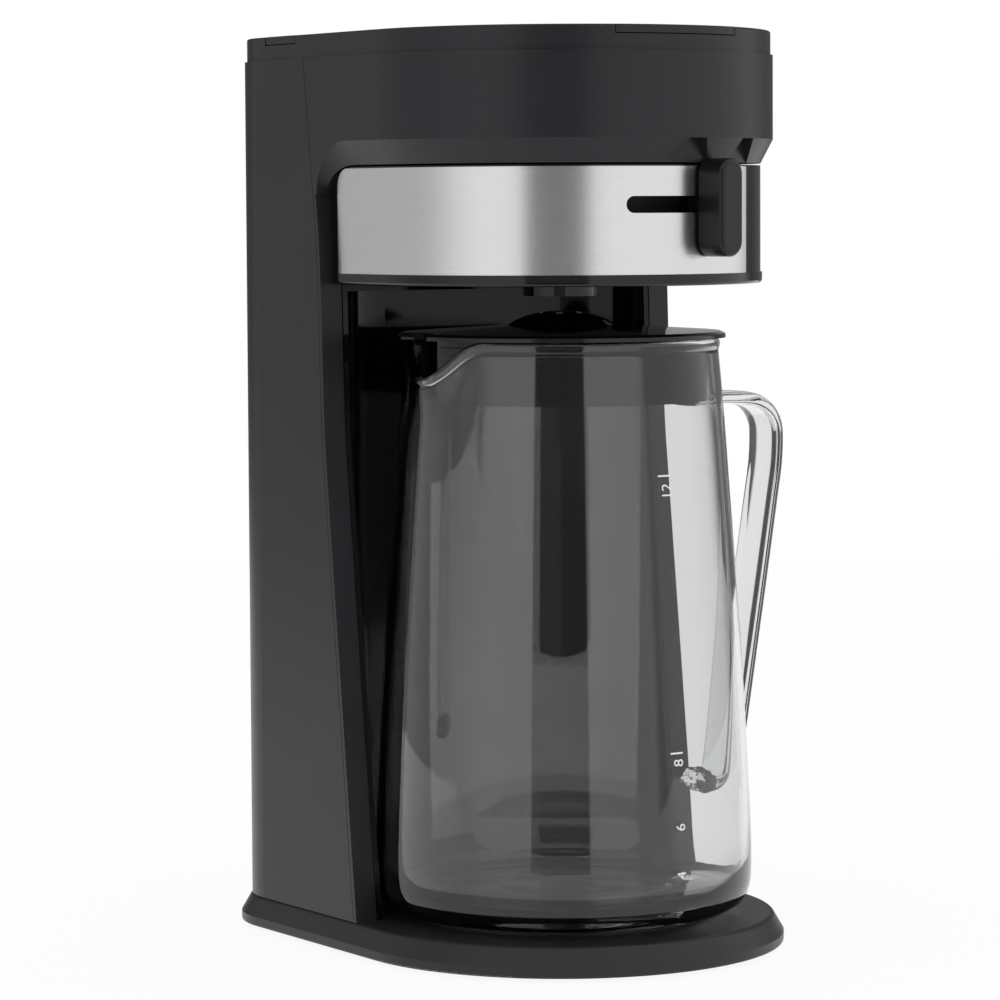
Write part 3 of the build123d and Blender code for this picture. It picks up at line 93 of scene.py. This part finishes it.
class Board:
    """The nodes of one material, or of the world."""

    def __init__(self, tree):
        tree.nodes.clear()
        self.tree = tree

    def node(self, kind, settings=None, values=None, output=0):
        """Adds a node: its settings first, then the values or links of its sockets."""
        made = self.tree.nodes.new(kind)
        for name, value in (settings or {}).items():
            setattr(made, name, value)
        for name, value in (values or {}).items():
            if isinstance(value, Wire):
                self.tree.links.new(value.socket, made.inputs[name])
            else:
                made.inputs[name].default_value = value
        return Wire(self, made.outputs[output]) if made.outputs else None

    def place(self):
        """Object coordinates, in metres in the frame of the drawings."""
        return self.node("ShaderNodeTexCoord", output="Object")

    def axes(self, vector):
        """The three numbers of a vector."""
        parts = self.node("ShaderNodeSeparateXYZ", values={0: vector})
        outputs = parts.socket.node.outputs
        return [Wire(self, outputs[name]) for name in "XYZ"]

    def point(self, x, y, z):
        return self.node("ShaderNodeCombineXYZ", values={0: x, 1: y, 2: z})

    def noise(self, vector, scale, detail=2.0, rough=0.5):
        values = {"Vector": vector, "Scale": scale, "Detail": detail, "Roughness": rough}
        return self.node("ShaderNodeTexNoise", values=values)

    def blend(self, share, first, second):
        """Mixes two colours."""
        values = {"Factor": share, 6: first, 7: second}
        return self.node("ShaderNodeMix", {"data_type": "RGBA"}, values, output=2)

    def bump(self, height, depth):
        return self.node("ShaderNodeBump", values={"Height": height, "Distance": depth, "Strength": 1.0})

    def surface(self, values):
        """The closing shader and the output."""
        shader = self.node("ShaderNodeBsdfPrincipled", values=values)
        self.node("ShaderNodeOutputMaterial", values={"Surface": shader})


def new_material(name):
    material = bpy.data.materials.new(name)
    material.use_nodes = True
    return material, Board(material.node_tree)


def shade(colour, factor):
    """A colour made lighter or darker, as the four numbers that a socket takes."""
    return (*[min(channel * factor, 1.0) for channel in colour[:3]], 1.0)


def moulded(name, colour, roughness, grain=0.012, grain_size=0.35, drift=0.12, specular=0.5):
    """Moulded plastic or rubber: a fine spark-eroded grain and a faint drift of its tone."""
    material, board = new_material(name)
    spot = board.place()
    cloud = board.noise(spot, 22.0, 3.0)
    fine = board.noise(spot, 1.0 / (grain_size * MM), 2.0, 0.6)
    tone = board.blend(cloud, shade(colour, 1.0 - drift), shade(colour, 1.0 + drift))
    rubbed = board.noise(spot, 60.0, 4.0, 0.6)
    board.surface({
        "Base Color": tone,
        "Roughness": roughness + (rubbed - 0.5) * 0.10 + (fine - 0.5) * 0.06,
        "Specular IOR Level": specular,
        "Normal": board.bump(fine, grain * MM),
    })
    return material


def gloss(name, colour, roughness=0.07, ripple=0.01, specular=0.5):
    """Gloss plastic: mirror smooth apart from the slight ripple that moulding leaves."""
    material, board = new_material(name)
    spot = board.place()
    wave = board.noise(spot, 45.0, 1.0)
    dust = board.noise(spot, 900.0, 2.0)
    board.surface({
        "Base Color": board.blend(wave, shade(colour, 0.9), shade(colour, 1.1)),
        "Roughness": roughness + dust.step(0.62, 0.8) * 0.12,
        "Specular IOR Level": specular,
        "Normal": board.bump(wave, ripple * MM),
    })
    return material


def metal(name, colour, roughness, stretch=(1, 1, 1), line=0.1, depth=0.002):
    """Drawn, rolled or cut metal with fine lines along the axis that stretch names."""
    material, board = new_material(name)
    x, y, z = board.axes(board.place())
    spot = board.point(x * stretch[0], y * stretch[1], z * stretch[2])
    lines = board.noise(spot, 1.0 / (line * MM), 2.0, 0.6)
    stain = board.noise(board.place(), 80.0, 3.0)
    board.surface({
        "Base Color": board.blend(stain, shade(colour, 0.88), shade(colour, 1.06)),
        "Metallic": 1.0,
        "Roughness": roughness + (lines - 0.5) * 0.25 + (stain - 0.5) * 0.1,
        "Normal": board.bump(lines, depth * MM),
    })
    return material


# Middle of the brewing axis, which the front of the machine is round about
BREW_Y = -23.0
JUG_Y = -24.0
FACING_R = 81.25
# How strongly thick glass absorbs, per metre
GLASS_DENSITY = 26.0


def brushed_facing(name):
    """The drawer's steel: brushed round the curve, so that a reflection is drawn out upwards."""
    material, board = new_material(name)
    x, y, z = board.axes(board.place())
    back = y - BREW_Y * MM
    turn = x.math("ARCTAN2", -back)
    along = turn * (FACING_R * MM)
    hair = board.noise(board.point(along * 0.05, 0.0, z), 5200.0, 3.0, 0.65)
    broad = board.noise(board.point(along * 0.02, 0.0, z), 700.0, 2.0)
    streak = board.noise(board.point(along * 0.10, 0.0, z), 1300.0, 4.0, 0.7)
    cloud = board.noise(board.point(along, 0.0, z), 26.0, 2.0)
    height = (hair - 0.5) * 0.4 + (broad - 0.5) * 0.3 + (streak - 0.5) * 0.5
    lit = 0.70 + height * 0.12 + (cloud - 0.5) * 0.04
    tint = board.node("ShaderNodeCombineColor", values={0: lit, 1: lit, 2: lit * 1.01})
    board.surface({
        "Base Color": tint,
        "Metallic": 1.0,
        "Roughness": 0.23 + (hair - 0.5) * 0.16,
        "Normal": board.bump(height, 0.050 * MM),
    })
    return material


def clear_glass(name, wave=0.012, foot_wave=6.0):
    """Clear glass with the faint waves of blown work, a little grey where it is thick."""
    material, board = new_material(name)
    x, y, z = board.axes(board.place())
    ripple = board.noise(board.point(x, y, z * 0.25), 30.0, 1.0)
    rings = board.noise(board.point(x * 0.4, y * 0.4, z), 170.0, 2.0)
    ripple = ripple + rings * (1.0 - z.step(0.022, 0.042)) * foot_wave
    shader = board.node("ShaderNodeBsdfPrincipled", values={
        "Base Color": (0.875, 0.88, 0.878, 1.0),
        "Roughness": 0.0,
        "IOR": 1.54,
        "Transmission Weight": 1.0,
        "Normal": board.bump(ripple, wave * MM),
    })
    depth = board.node("ShaderNodeVolumeAbsorption", values={
        "Color": (0.80, 0.84, 0.82, 1.0), "Density": GLASS_DENSITY,
    })
    board.node("ShaderNodeOutputMaterial", values={"Surface": shader, "Volume": depth})
    return material


def link(name, mesh, body, material, smooth=True, replaces=()):
    """Puts a finished mesh into the scene as a piece that rides on a body."""
    piece = bpy.data.objects.new(name, mesh)
    bpy.context.scene.collection.objects.link(piece)
    mesh.materials.clear()
    mesh.materials.append(material)
    if smooth:
        mesh.shade_smooth()
    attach(piece, body)
    if replaces:
        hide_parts(*replaces)
    return piece


# Body plastics: satin charcoal outside, gloss black round the jug and on the drawer
CHARCOAL = (0.0158, 0.0156, 0.0186)
JET = (0.0035, 0.0035, 0.0040)
satin = moulded("satin_charcoal", CHARCOAL, 0.33, grain=0.004, specular=0.30)
base_satin = moulded("satin_charcoal_base", CHARCOAL, 0.38, grain=0.004, specular=0.34)
lid_satin = moulded("satin_charcoal_lid", CHARCOAL, 0.36, grain=0.004, specular=0.32)
lever_satin = moulded("satin_black_lever", (0.008, 0.008, 0.0092), 0.28, grain=0.003, specular=0.32)
gloss_black = gloss("gloss_black", JET, specular=0.42)
liner_black = gloss("gloss_black_liner", JET, 0.08, 0.02, specular=0.24)
moulded_black = moulded("moulded_black", (0.0045, 0.0045, 0.005), 0.5, specular=0.22)
rubber_black = moulded("rubber_black", (0.018, 0.018, 0.019), 0.75, grain=0.02)
silicone = moulded("silicone_grey", (0.10, 0.10, 0.105), 0.55)
silicone_clear = moulded("silicone_milky", (0.62, 0.62, 0.60), 0.35)
acetal = moulded("acetal_white", (0.66, 0.66, 0.63), 0.38)
tank_grey = moulded("tank_polypropylene", (0.20, 0.21, 0.22), 0.42)
basket_grey = moulded("basket_grey", (0.05, 0.05, 0.053), 0.45)
phenolic = moulded("phenolic_brown", (0.07, 0.05, 0.04), 0.4)
lens_amber = gloss("lens_amber", (0.60, 0.16, 0.02), 0.12)
button_grey = moulded("button_grey", (0.10, 0.10, 0.108), 0.38)
facing_steel = brushed_facing("facing_steel")
screw_zinc = metal("screw_zinc", (0.55, 0.55, 0.57), 0.35)
rolled_steel = metal("rolled_steel", (0.58, 0.58, 0.59), 0.30, (0.05, 1, 1))
drawn_aluminium = metal("drawn_aluminium", (0.66, 0.66, 0.67), 0.38, (0.04, 1, 1))
heated_steel = metal("heated_steel", (0.36, 0.32, 0.28), 0.42, (0.05, 1, 1))
filter_steel = metal("filter_steel", (0.62, 0.62, 0.62), 0.28)
jug_glass = clear_glass("jug_glass")
mark_white = moulded("enamel_white", (0.80, 0.80, 0.80), 0.45)

finishes = {
    satin: ["rear_housing", "head_shell", "top_frame"],
    base_satin: ["base_shell"],
    lid_satin: ["reservoir_lid"],
    lever_satin: ["strength_lever"],
    gloss_black: ["drawer_body", "jug_lid", "lever_pivot"],
    liner_black: ["cavity_liner"],
    moulded_black: ["bay_liner", "drawer_rails", "base_cover", "power_switch"],
    rubber_black: ["base_feet", "jug_lid_gasket", "cord_gland"],
    silicone: ["lid_seal"],
    silicone_clear: ["inlet_hose", "riser_hose"],
    acetal: ["tank_valve", "flow_gate", "spray_head"],
    tank_grey: ["water_tank", "tank_well"],
    basket_grey: ["steeping_basket"],
    phenolic: ["thermostat"],
    lens_amber: ["pilot_lens"],
    button_grey: ["power_button", "button_bezel"],
    facing_steel: ["drawer_facing"],
    screw_zinc: ["cover_screws"],
    rolled_steel: ["heater_saddle", "lid_hinge_rod"],
    drawn_aluminium: ["heater_block"],
    heated_steel: ["heater_element"],
    filter_steel: ["filter_disc"],
    jug_glass: ["glass_jug"],
}
for finish, names in finishes.items():
    for name in names:
        for slot in nodes[name].material_slots:
            slot.material = finish


# Jug: outer radius by height above the table, the wall, and the spout's drop and flare
JUG_RIM = 247.8
OUTER = [
    (0.0, 16.5), (46.0, 16.5), (48.5, 15.3), (65.5, 15.3), (70.0, 16.3), (73.6, 18.8), (75.7, 22.3),
    (76.8, 27.5),
    (77.0, 34.0), (76.9, 42.0), (76.4, 55.0), (75.6, 71.0), (74.8, 88.0), (73.9, 104.0), (72.9, 121.0),
    (71.7, 137.0), (70.6, 154.0), (69.4, 170.0), (68.2, 186.0), (67.0, 203.0), (65.8, 219.0),
    (64.6, 233.0), (63.9, 240.0), (63.6, 243.0), (64.0, 244.2),
]
RIM = [
    (64.3, 245.4), (64.1, 246.8), (63.2, 247.7), (62.2, 247.8), (61.1, 247.3), (60.5, 246.2),
    (60.4, 245.0),
]
INNER = [
    (60.7, 243.8), (61.2, 242.6), (61.4, 240.0), (62.1, 233.0), (63.4, 219.0), (64.7, 203.0),
    (65.9, 186.0), (67.1, 170.0),
    (68.3, 154.0), (69.4, 137.0), (70.6, 121.0), (71.6, 104.0), (72.5, 88.0), (73.3, 71.0), (74.0, 55.0),
    (74.3, 42.0), (74.1, 34.0), (73.0, 28.6), (70.4, 24.4), (66.0, 21.9), (60.0, 21.3), (46.0, 20.9),
    (44.0, 21.3), (41.0, 21.2), (28.0, 20.7), (26.0, 21.1), (0.0, 21.3),
]
JUG_STEPS = 240
SPOUT_TURN = radians(4.0)
SPOUT_DROP = 14.5
SPOUT_SPREAD = radians(30.0)
SPOUT_FLARE = 2.6
SPOUT_DEPTH = 52.0
PINCH_AWAY = radians(19.0)
PINCH_SPREAD = radians(7.5)
PINCH_IN = 2.6
PINCH_DROP = 17.0
PINCH_TALL = 10.0


def smooth_share(value):
    value = max(0.0, min(1.0, value))
    return value * value * (3.0 - 2.0 * value)


def pinch_spout(mesh):
    """Draws the rim down and out into the spout, at the left of the jug, and presses the
    wall in on both sides of it."""
    for vert in mesh.verts:
        z = vert.co.z / MM
        rise = (z - (JUG_RIM - SPOUT_DEPTH)) / SPOUT_DEPTH
        if rise <= 0:
            continue
        across = vert.co.y / MM - JUG_Y
        away = abs(atan2(across, -vert.co.x / MM) - SPOUT_TURN)
        if away > 2 * SPOUT_SPREAD:
            continue
        dip = cos(pi / 2 * min(away / SPOUT_SPREAD, 1.0)) ** 2
        share = smooth_share(rise)
        drop = SPOUT_DROP * dip * share ** 2
        side = exp(-(((away - PINCH_AWAY) / PINCH_SPREAD) ** 2))
        level = exp(-(((z - JUG_RIM + PINCH_DROP) / PINCH_TALL) ** 2))
        move = SPOUT_FLARE * dip ** 3 * share ** 3 - PINCH_IN * side * level
        radius = hypot(vert.co.x / MM, across)
        grown = (radius + move) / radius
        vert.co.x *= grown
        vert.co.y = (JUG_Y + across * grown) * MM
        vert.co.z -= drop * MM


def jug_bowl():
    """The bowl's section, spun about the jug's axis, with its spout."""
    mesh = bmesh.new()
    section = OUTER + RIM + INNER
    verts = [mesh.verts.new((radius * MM, JUG_Y * MM, z * MM)) for radius, z in section]
    edges = [mesh.edges.new(pair) for pair in zip(verts, verts[1:])]
    bmesh.ops.subdivide_edges(mesh, edges=edges, cuts=1)
    bmesh.ops.spin(
        mesh, geom=mesh.verts[:] + mesh.edges[:], cent=(0, JUG_Y * MM, 0), axis=(0, 0, 1),
        angle=2 * pi, steps=JUG_STEPS, use_merge=True,
    )
    bmesh.ops.remove_doubles(mesh, verts=mesh.verts, dist=0.00002)
    pinch_spout(mesh)
    bmesh.ops.recalc_face_normals(mesh, faces=mesh.faces)
    return mesh


# Handle: a flat strap that runs out from the top of the bowl and back in to a pinched joint
STRAP_LINE = [
    (63.9, 221.4), (67.0, 221.5), (72.0, 221.6), (80.0, 221.6), (92.0, 220.6), (99.5, 216.6),
    (103.5, 210.0), (104.1, 202.0), (103.4, 192.0),
    (101.6, 181.0), (98.6, 163.0), (95.4, 144.0), (91.6, 122.0), (88.0, 101.0), (84.4, 80.0), (82.6, 69.5),
    (80.9, 63.5), (78.2, 60.4), (75.2, 59.8),
]
STRAP_WIDE = 20.0
STRAP_THICK = 5.4
STRAP_SIDES = 28
STRAP_STEPS = 4
# How square the strap's section is: less is squarer, across it and through it
STRAP_SQUARE_WIDE = 0.42
STRAP_SQUARE_THICK = 0.62
# At its lower end the strap narrows and swells, over this many rings
STRAP_END_RINGS = 9.0
STRAP_END_WIDE = 0.62
STRAP_END_THICK = 1.35


def strap_handle():
    """A rounded strap section, drawn along the handle's line."""
    mesh = bmesh.new()
    path = [Vector((x, z)) for x, z in STRAP_LINE]
    dense = []
    for place in range(len(path) - 1):
        before = path[max(place - 1, 0)]
        after = path[min(place + 2, len(path) - 1)]
        for step in range(STRAP_STEPS):
            t = step / STRAP_STEPS
            a, b = path[place], path[place + 1]
            dense.append(0.5 * (
                2 * a + (b - before) * t + (2 * before - 5 * a + 4 * b - after) * t ** 2
                + (3 * a - before - 3 * b + after) * t ** 3
            ))
    dense.append(path[-1])
    ring = bmesh.ops.create_circle(mesh, segments=STRAP_SIDES, radius=1.0, cap_ends=False)["verts"]
    shape = []
    for vert in ring:
        turn = atan2(vert.co.y, vert.co.x)
        across = abs(cos(turn)) ** STRAP_SQUARE_WIDE * (1 if cos(turn) >= 0 else -1)
        thick = abs(sin(turn)) ** STRAP_SQUARE_THICK * (1 if sin(turn) >= 0 else -1)
        shape.append((across * STRAP_WIDE / 2, thick * STRAP_THICK / 2))
    rings = []
    for place, point in enumerate(dense):
        ahead = dense[min(place + 1, len(dense) - 1)] - dense[max(place - 1, 0)]
        ahead.normalize()
        out = Vector((-ahead.y, ahead.x))
        end = smooth_share((len(dense) - 1 - place) / STRAP_END_RINGS)
        narrow = STRAP_END_WIDE + (1.0 - STRAP_END_WIDE) * end
        swell = STRAP_END_THICK + (1.0 - STRAP_END_THICK) * end
        loop = ring if place == 0 else [mesh.verts.new((0, 0, 0)) for _ in ring]
        for vert, (across, thick) in zip(loop, shape):
            spot = point + out * thick * swell
            vert.co = Vector((spot.x, JUG_Y + across * narrow, spot.y)) * MM
        rings.append(loop)
    for first, second in zip(rings, rings[1:]):
        for place in range(len(ring)):
            following = (place + 1) % len(ring)
            mesh.faces.new((first[place], first[following], second[following], second[place]))
    mesh.faces.new(rings[0])
    mesh.faces.new(list(reversed(rings[-1])))
    bmesh.ops.recalc_face_normals(mesh, faces=mesh.faces)
    return mesh


def finish_mesh(name, source):
    mesh = bpy.data.meshes.new(name)
    source.to_mesh(mesh)
    source.free()
    return mesh


link(
    "jug_bowl_glass", finish_mesh("jug_bowl_glass", jug_bowl()), "jug", jug_glass,
    replaces=["glass_jug"],
)


JOINT_SPOT = (74.6, -18.5, 60.2)
JOINT_SIZE = (3.6, 11.0, 5.4)
JOINT_TURN = radians(4.0)


def handle_joint():
    """The lump of glass that welds the strap's lower end to the bowl, with soft dents."""
    mesh = bmesh.new()
    bmesh.ops.create_icosphere(mesh, subdivisions=5, radius=1.0)
    for vert in mesh.verts:
        dent = noise.noise(vert.co * 2.3) * 0.22 + noise.noise(vert.co * 5.0) * 0.07
        vert.co = Vector([part * size for part, size in zip(vert.co * (1.0 + dent), JOINT_SIZE)])
    bmesh.ops.rotate(mesh, verts=mesh.verts, cent=(0, 0, 0), matrix=Matrix.Rotation(JOINT_TURN, 3, "Z"))
    bmesh.ops.translate(mesh, verts=mesh.verts, vec=JOINT_SPOT)
    bmesh.ops.scale(mesh, verts=mesh.verts, vec=(MM, MM, MM))
    return mesh


for name, source in (("jug_joint_glass", handle_joint()), ("jug_strap_glass", strap_handle())):
    link(name, finish_mesh(name, source), "jug", jug_glass)

# White marks up the front of the bowl: the number, its height and the length of its tick
MARKS = [("4", 37.5, 0.0), ("6", 56.5, 0.0), ("8", 82.0, 6.0), ("12", 189.0, 6.0)]
MARK_ANGLE = radians(4.6)
MARK_SIZE = 6.4
# How far a number reaches from its middle, as a share of its size, for each digit
DIGIT_REACH = 0.35
MARK_LIFT = 0.06
MARK_THICK = 0.02
TICK_GAP = 1.6
TICK_THICK = 0.7


def outer_radius(z):
    """The bowl's outer radius at a height."""
    for (low_r, low_z), (high_r, high_z) in zip(OUTER[6:], OUTER[7:]):
        if low_z <= z <= high_z:
            return low_r + (high_r - low_r) * (z - low_z) / (high_z - low_z)
    return OUTER[-1][0]


def volume_marks():
    """Numbers and ticks that read upwards, laid round the glass as thin white enamel."""
    mesh = bmesh.new()
    for words, height, tick in MARKS:
        words_curve = bpy.data.curves.new("mark", "FONT")
        words_curve.body = words
        words_curve.size = MARK_SIZE
        words_curve.align_x = "CENTER"
        words_curve.extrude = MARK_THICK
        holder = bpy.data.objects.new("mark", words_curve)
        flat = bmesh.new()
        flat.from_mesh(holder.to_mesh())
        holder.to_mesh_clear()
        bpy.data.objects.remove(holder)
        bpy.data.curves.remove(words_curve)
        if tick:
            bar = bmesh.ops.create_cube(flat, size=1.0)["verts"]
            bmesh.ops.scale(flat, verts=bar, vec=(TICK_THICK, tick, 2 * MARK_THICK))
            beside = MARK_SIZE * DIGIT_REACH * len(words) + TICK_GAP
            bmesh.ops.translate(flat, verts=bar, vec=(beside, tick / 2, 0))
        long_edges = [edge for edge in flat.edges if edge.calc_length() > 0.8]
        bmesh.ops.subdivide_edges(flat, edges=long_edges, cuts=3)
        bmesh.ops.triangulate(flat, faces=flat.faces)
        for vert in flat.verts:
            z = height + vert.co.x
            radius = outer_radius(z) + MARK_LIFT + vert.co.z
            turn = MARK_ANGLE - vert.co.y / radius
            vert.co = Vector((radius * sin(turn), JUG_Y - radius * cos(turn), z)) * MM
        piece = bpy.data.meshes.new("mark")
        flat.to_mesh(piece)
        flat.free()
        mesh.from_mesh(piece)
        bpy.data.meshes.remove(piece)
    bmesh.ops.recalc_face_normals(mesh, faces=mesh.faces)
    return mesh


link("jug_marks", finish_mesh("jug_marks", volume_marks()), "jug", mark_white, smooth=False)


# Studio: a white floor that keeps a soft shadow, a white background and a light tent
# that is open on the camera's side. The floor's half width and how far it comes forward,
# in metres, and its glow's share
FLOOR_SIZE = 1.1
FLOOR_REACH = 0.42
FLOOR_GLOW = 0.92


def white_floor():
    mesh = bmesh.new()
    bmesh.ops.create_grid(mesh, x_segments=1, y_segments=1, size=FLOOR_SIZE)
    floor = bpy.data.objects.new("studio_floor", finish_mesh("studio_floor", mesh))
    bpy.context.scene.collection.objects.link(floor)
    away = FLOOR_SIZE - FLOOR_REACH
    floor.location = (away * sin(CAMERA_TURN), away * cos(CAMERA_TURN), -0.0002)
    floor.rotation_euler.z = -CAMERA_TURN
    material, board = new_material("studio_white")
    diffuse = board.node("ShaderNodeBsdfDiffuse", values={"Color": (0.95, 0.95, 0.95, 1.0)})
    glow = board.node("ShaderNodeEmission", values={"Color": (1.0, 1.0, 1.0, 1.0), "Strength": 1.0})
    mixed = board.node("ShaderNodeMixShader", values={0: FLOOR_GLOW, 1: diffuse, 2: glow})
    board.node("ShaderNodeOutputMaterial", values={"Surface": mixed})
    floor.data.materials.append(material)


# The tent, by the turn away from the camera's side in radians and by the height of a direction:
# each pair is where an edge starts and ends, and each share is how much light it takes away
GAP_LEFT = (-0.37, -0.34)
GAP_RIGHT = (0.25, 0.28)
GAP_TOP = (0.50, 0.75)
GAP_DARK = 0.91
HORIZON_GLOW = 0.30
FLAG_TOP = (0.60, 0.85)
FLAG_DARK = 0.88
LEFT_DIM = 0.47
BEHIND_DIM = 0.65
CORNER_DIM = 0.50
# The plain light that everything but mirrors and glass is lit by
PLAIN_LIGHT = 0.92


def light_tent():
    """White behind the machine, at a strength of 1. On the camera's side, which reflections
    alone show, it is no brighter, with an opening behind the camera and flags at the sides."""
    world = bpy.data.worlds.new("light_tent")
    bpy.context.scene.world = world
    world.use_nodes = True
    board = Board(world.node_tree)
    x, y, z = board.axes(board.node("ShaderNodeTexCoord", output="Generated"))
    toward = x * -sin(CAMERA_TURN) + y * -cos(CAMERA_TURN)
    right = x * cos(CAMERA_TURN) + y * -sin(CAMERA_TURN)
    turn = right.math("ARCTAN2", toward)
    gap = turn.step(*GAP_LEFT) * (1.0 - turn.step(*GAP_RIGHT))
    horizon = z.step(-0.25, -0.02) * (1.0 - z.step(0.018, 0.028))
    gap = gap * (1.0 - z.step(*GAP_TOP)) * (1.0 - horizon * HORIZON_GLOW)
    left_side = turn.step(-3.02, -2.92) * (1.0 - turn.step(-2.12, -2.06))
    right_side = turn.step(1.02, 1.12) * (1.0 - turn.step(2.92, 3.02))
    flags = (left_side + right_side) * (1.0 - z.step(*FLAG_TOP))
    dimmer = (1.0 - turn.step(-1.55, -0.75)) * turn.step(-2.75, -2.6)
    tent = (1.0 - dimmer * LEFT_DIM) * (1.0 - gap * GAP_DARK)
    behind = 1.0 - turn.step(-2.45, -2.15) * (1.0 - turn.step(2.15, 2.45))
    corners = behind * turn.step(-3.00, -2.90) * (1.0 - turn.step(2.90, 3.00))
    path = board.node("ShaderNodeLightPath")
    outputs = path.socket.node.outputs
    mirror = Wire(board, outputs["Is Glossy Ray"])
    through = Wire(board, outputs["Is Transmission Ray"])
    camera = Wire(board, outputs["Is Camera Ray"])
    reflected = mirror * (1.0 - through) * (1.0 - behind * BEHIND_DIM) * (1.0 - corners * CORNER_DIM)
    refracted = through * (1.0 - flags * FLAG_DARK)
    other = 1.0 - camera.math("MAXIMUM", mirror.math("MAXIMUM", through))
    strength = camera + (reflected + refracted) * tent + other * PLAIN_LIGHT
    glow = board.node("ShaderNodeBackground", values={"Color": (1, 1, 1, 1), "Strength": strength})
    board.node("ShaderNodeOutputWorld", values={"Surface": glow})


def place_camera():
    turn = Vector((sin(CAMERA_TURN), cos(CAMERA_TURN), 0))
    side = Vector((cos(CAMERA_TURN), -sin(CAMERA_TURN), 0))
    up = Vector((0, 0, 1))
    ahead = cos(CAMERA_PITCH) * turn - sin(CAMERA_PITCH) * up
    over = cos(CAMERA_PITCH) * up + sin(CAMERA_PITCH) * turn
    right = cos(CAMERA_ROLL) * side + sin(CAMERA_ROLL) * over
    top = -sin(CAMERA_ROLL) * side + cos(CAMERA_ROLL) * over
    lens = bpy.data.cameras.new("photo_camera")
    lens.lens = CAMERA_LENS
    lens.sensor_width = SENSOR_WIDTH
    lens.clip_start = 0.05
    lens.clip_end = 50.0
    camera = bpy.data.objects.new("photo_camera", lens)
    bpy.context.scene.collection.objects.link(camera)
    turned = Matrix((right, top, -ahead)).transposed().to_4x4()
    camera.matrix_world = Matrix.Translation(Vector(CAMERA_SPOT) * MM) @ turned
    bpy.context.scene.camera = camera


white_floor()
light_tent()
place_camera()
bpy.context.scene.view_settings.view_transform = "Standard"
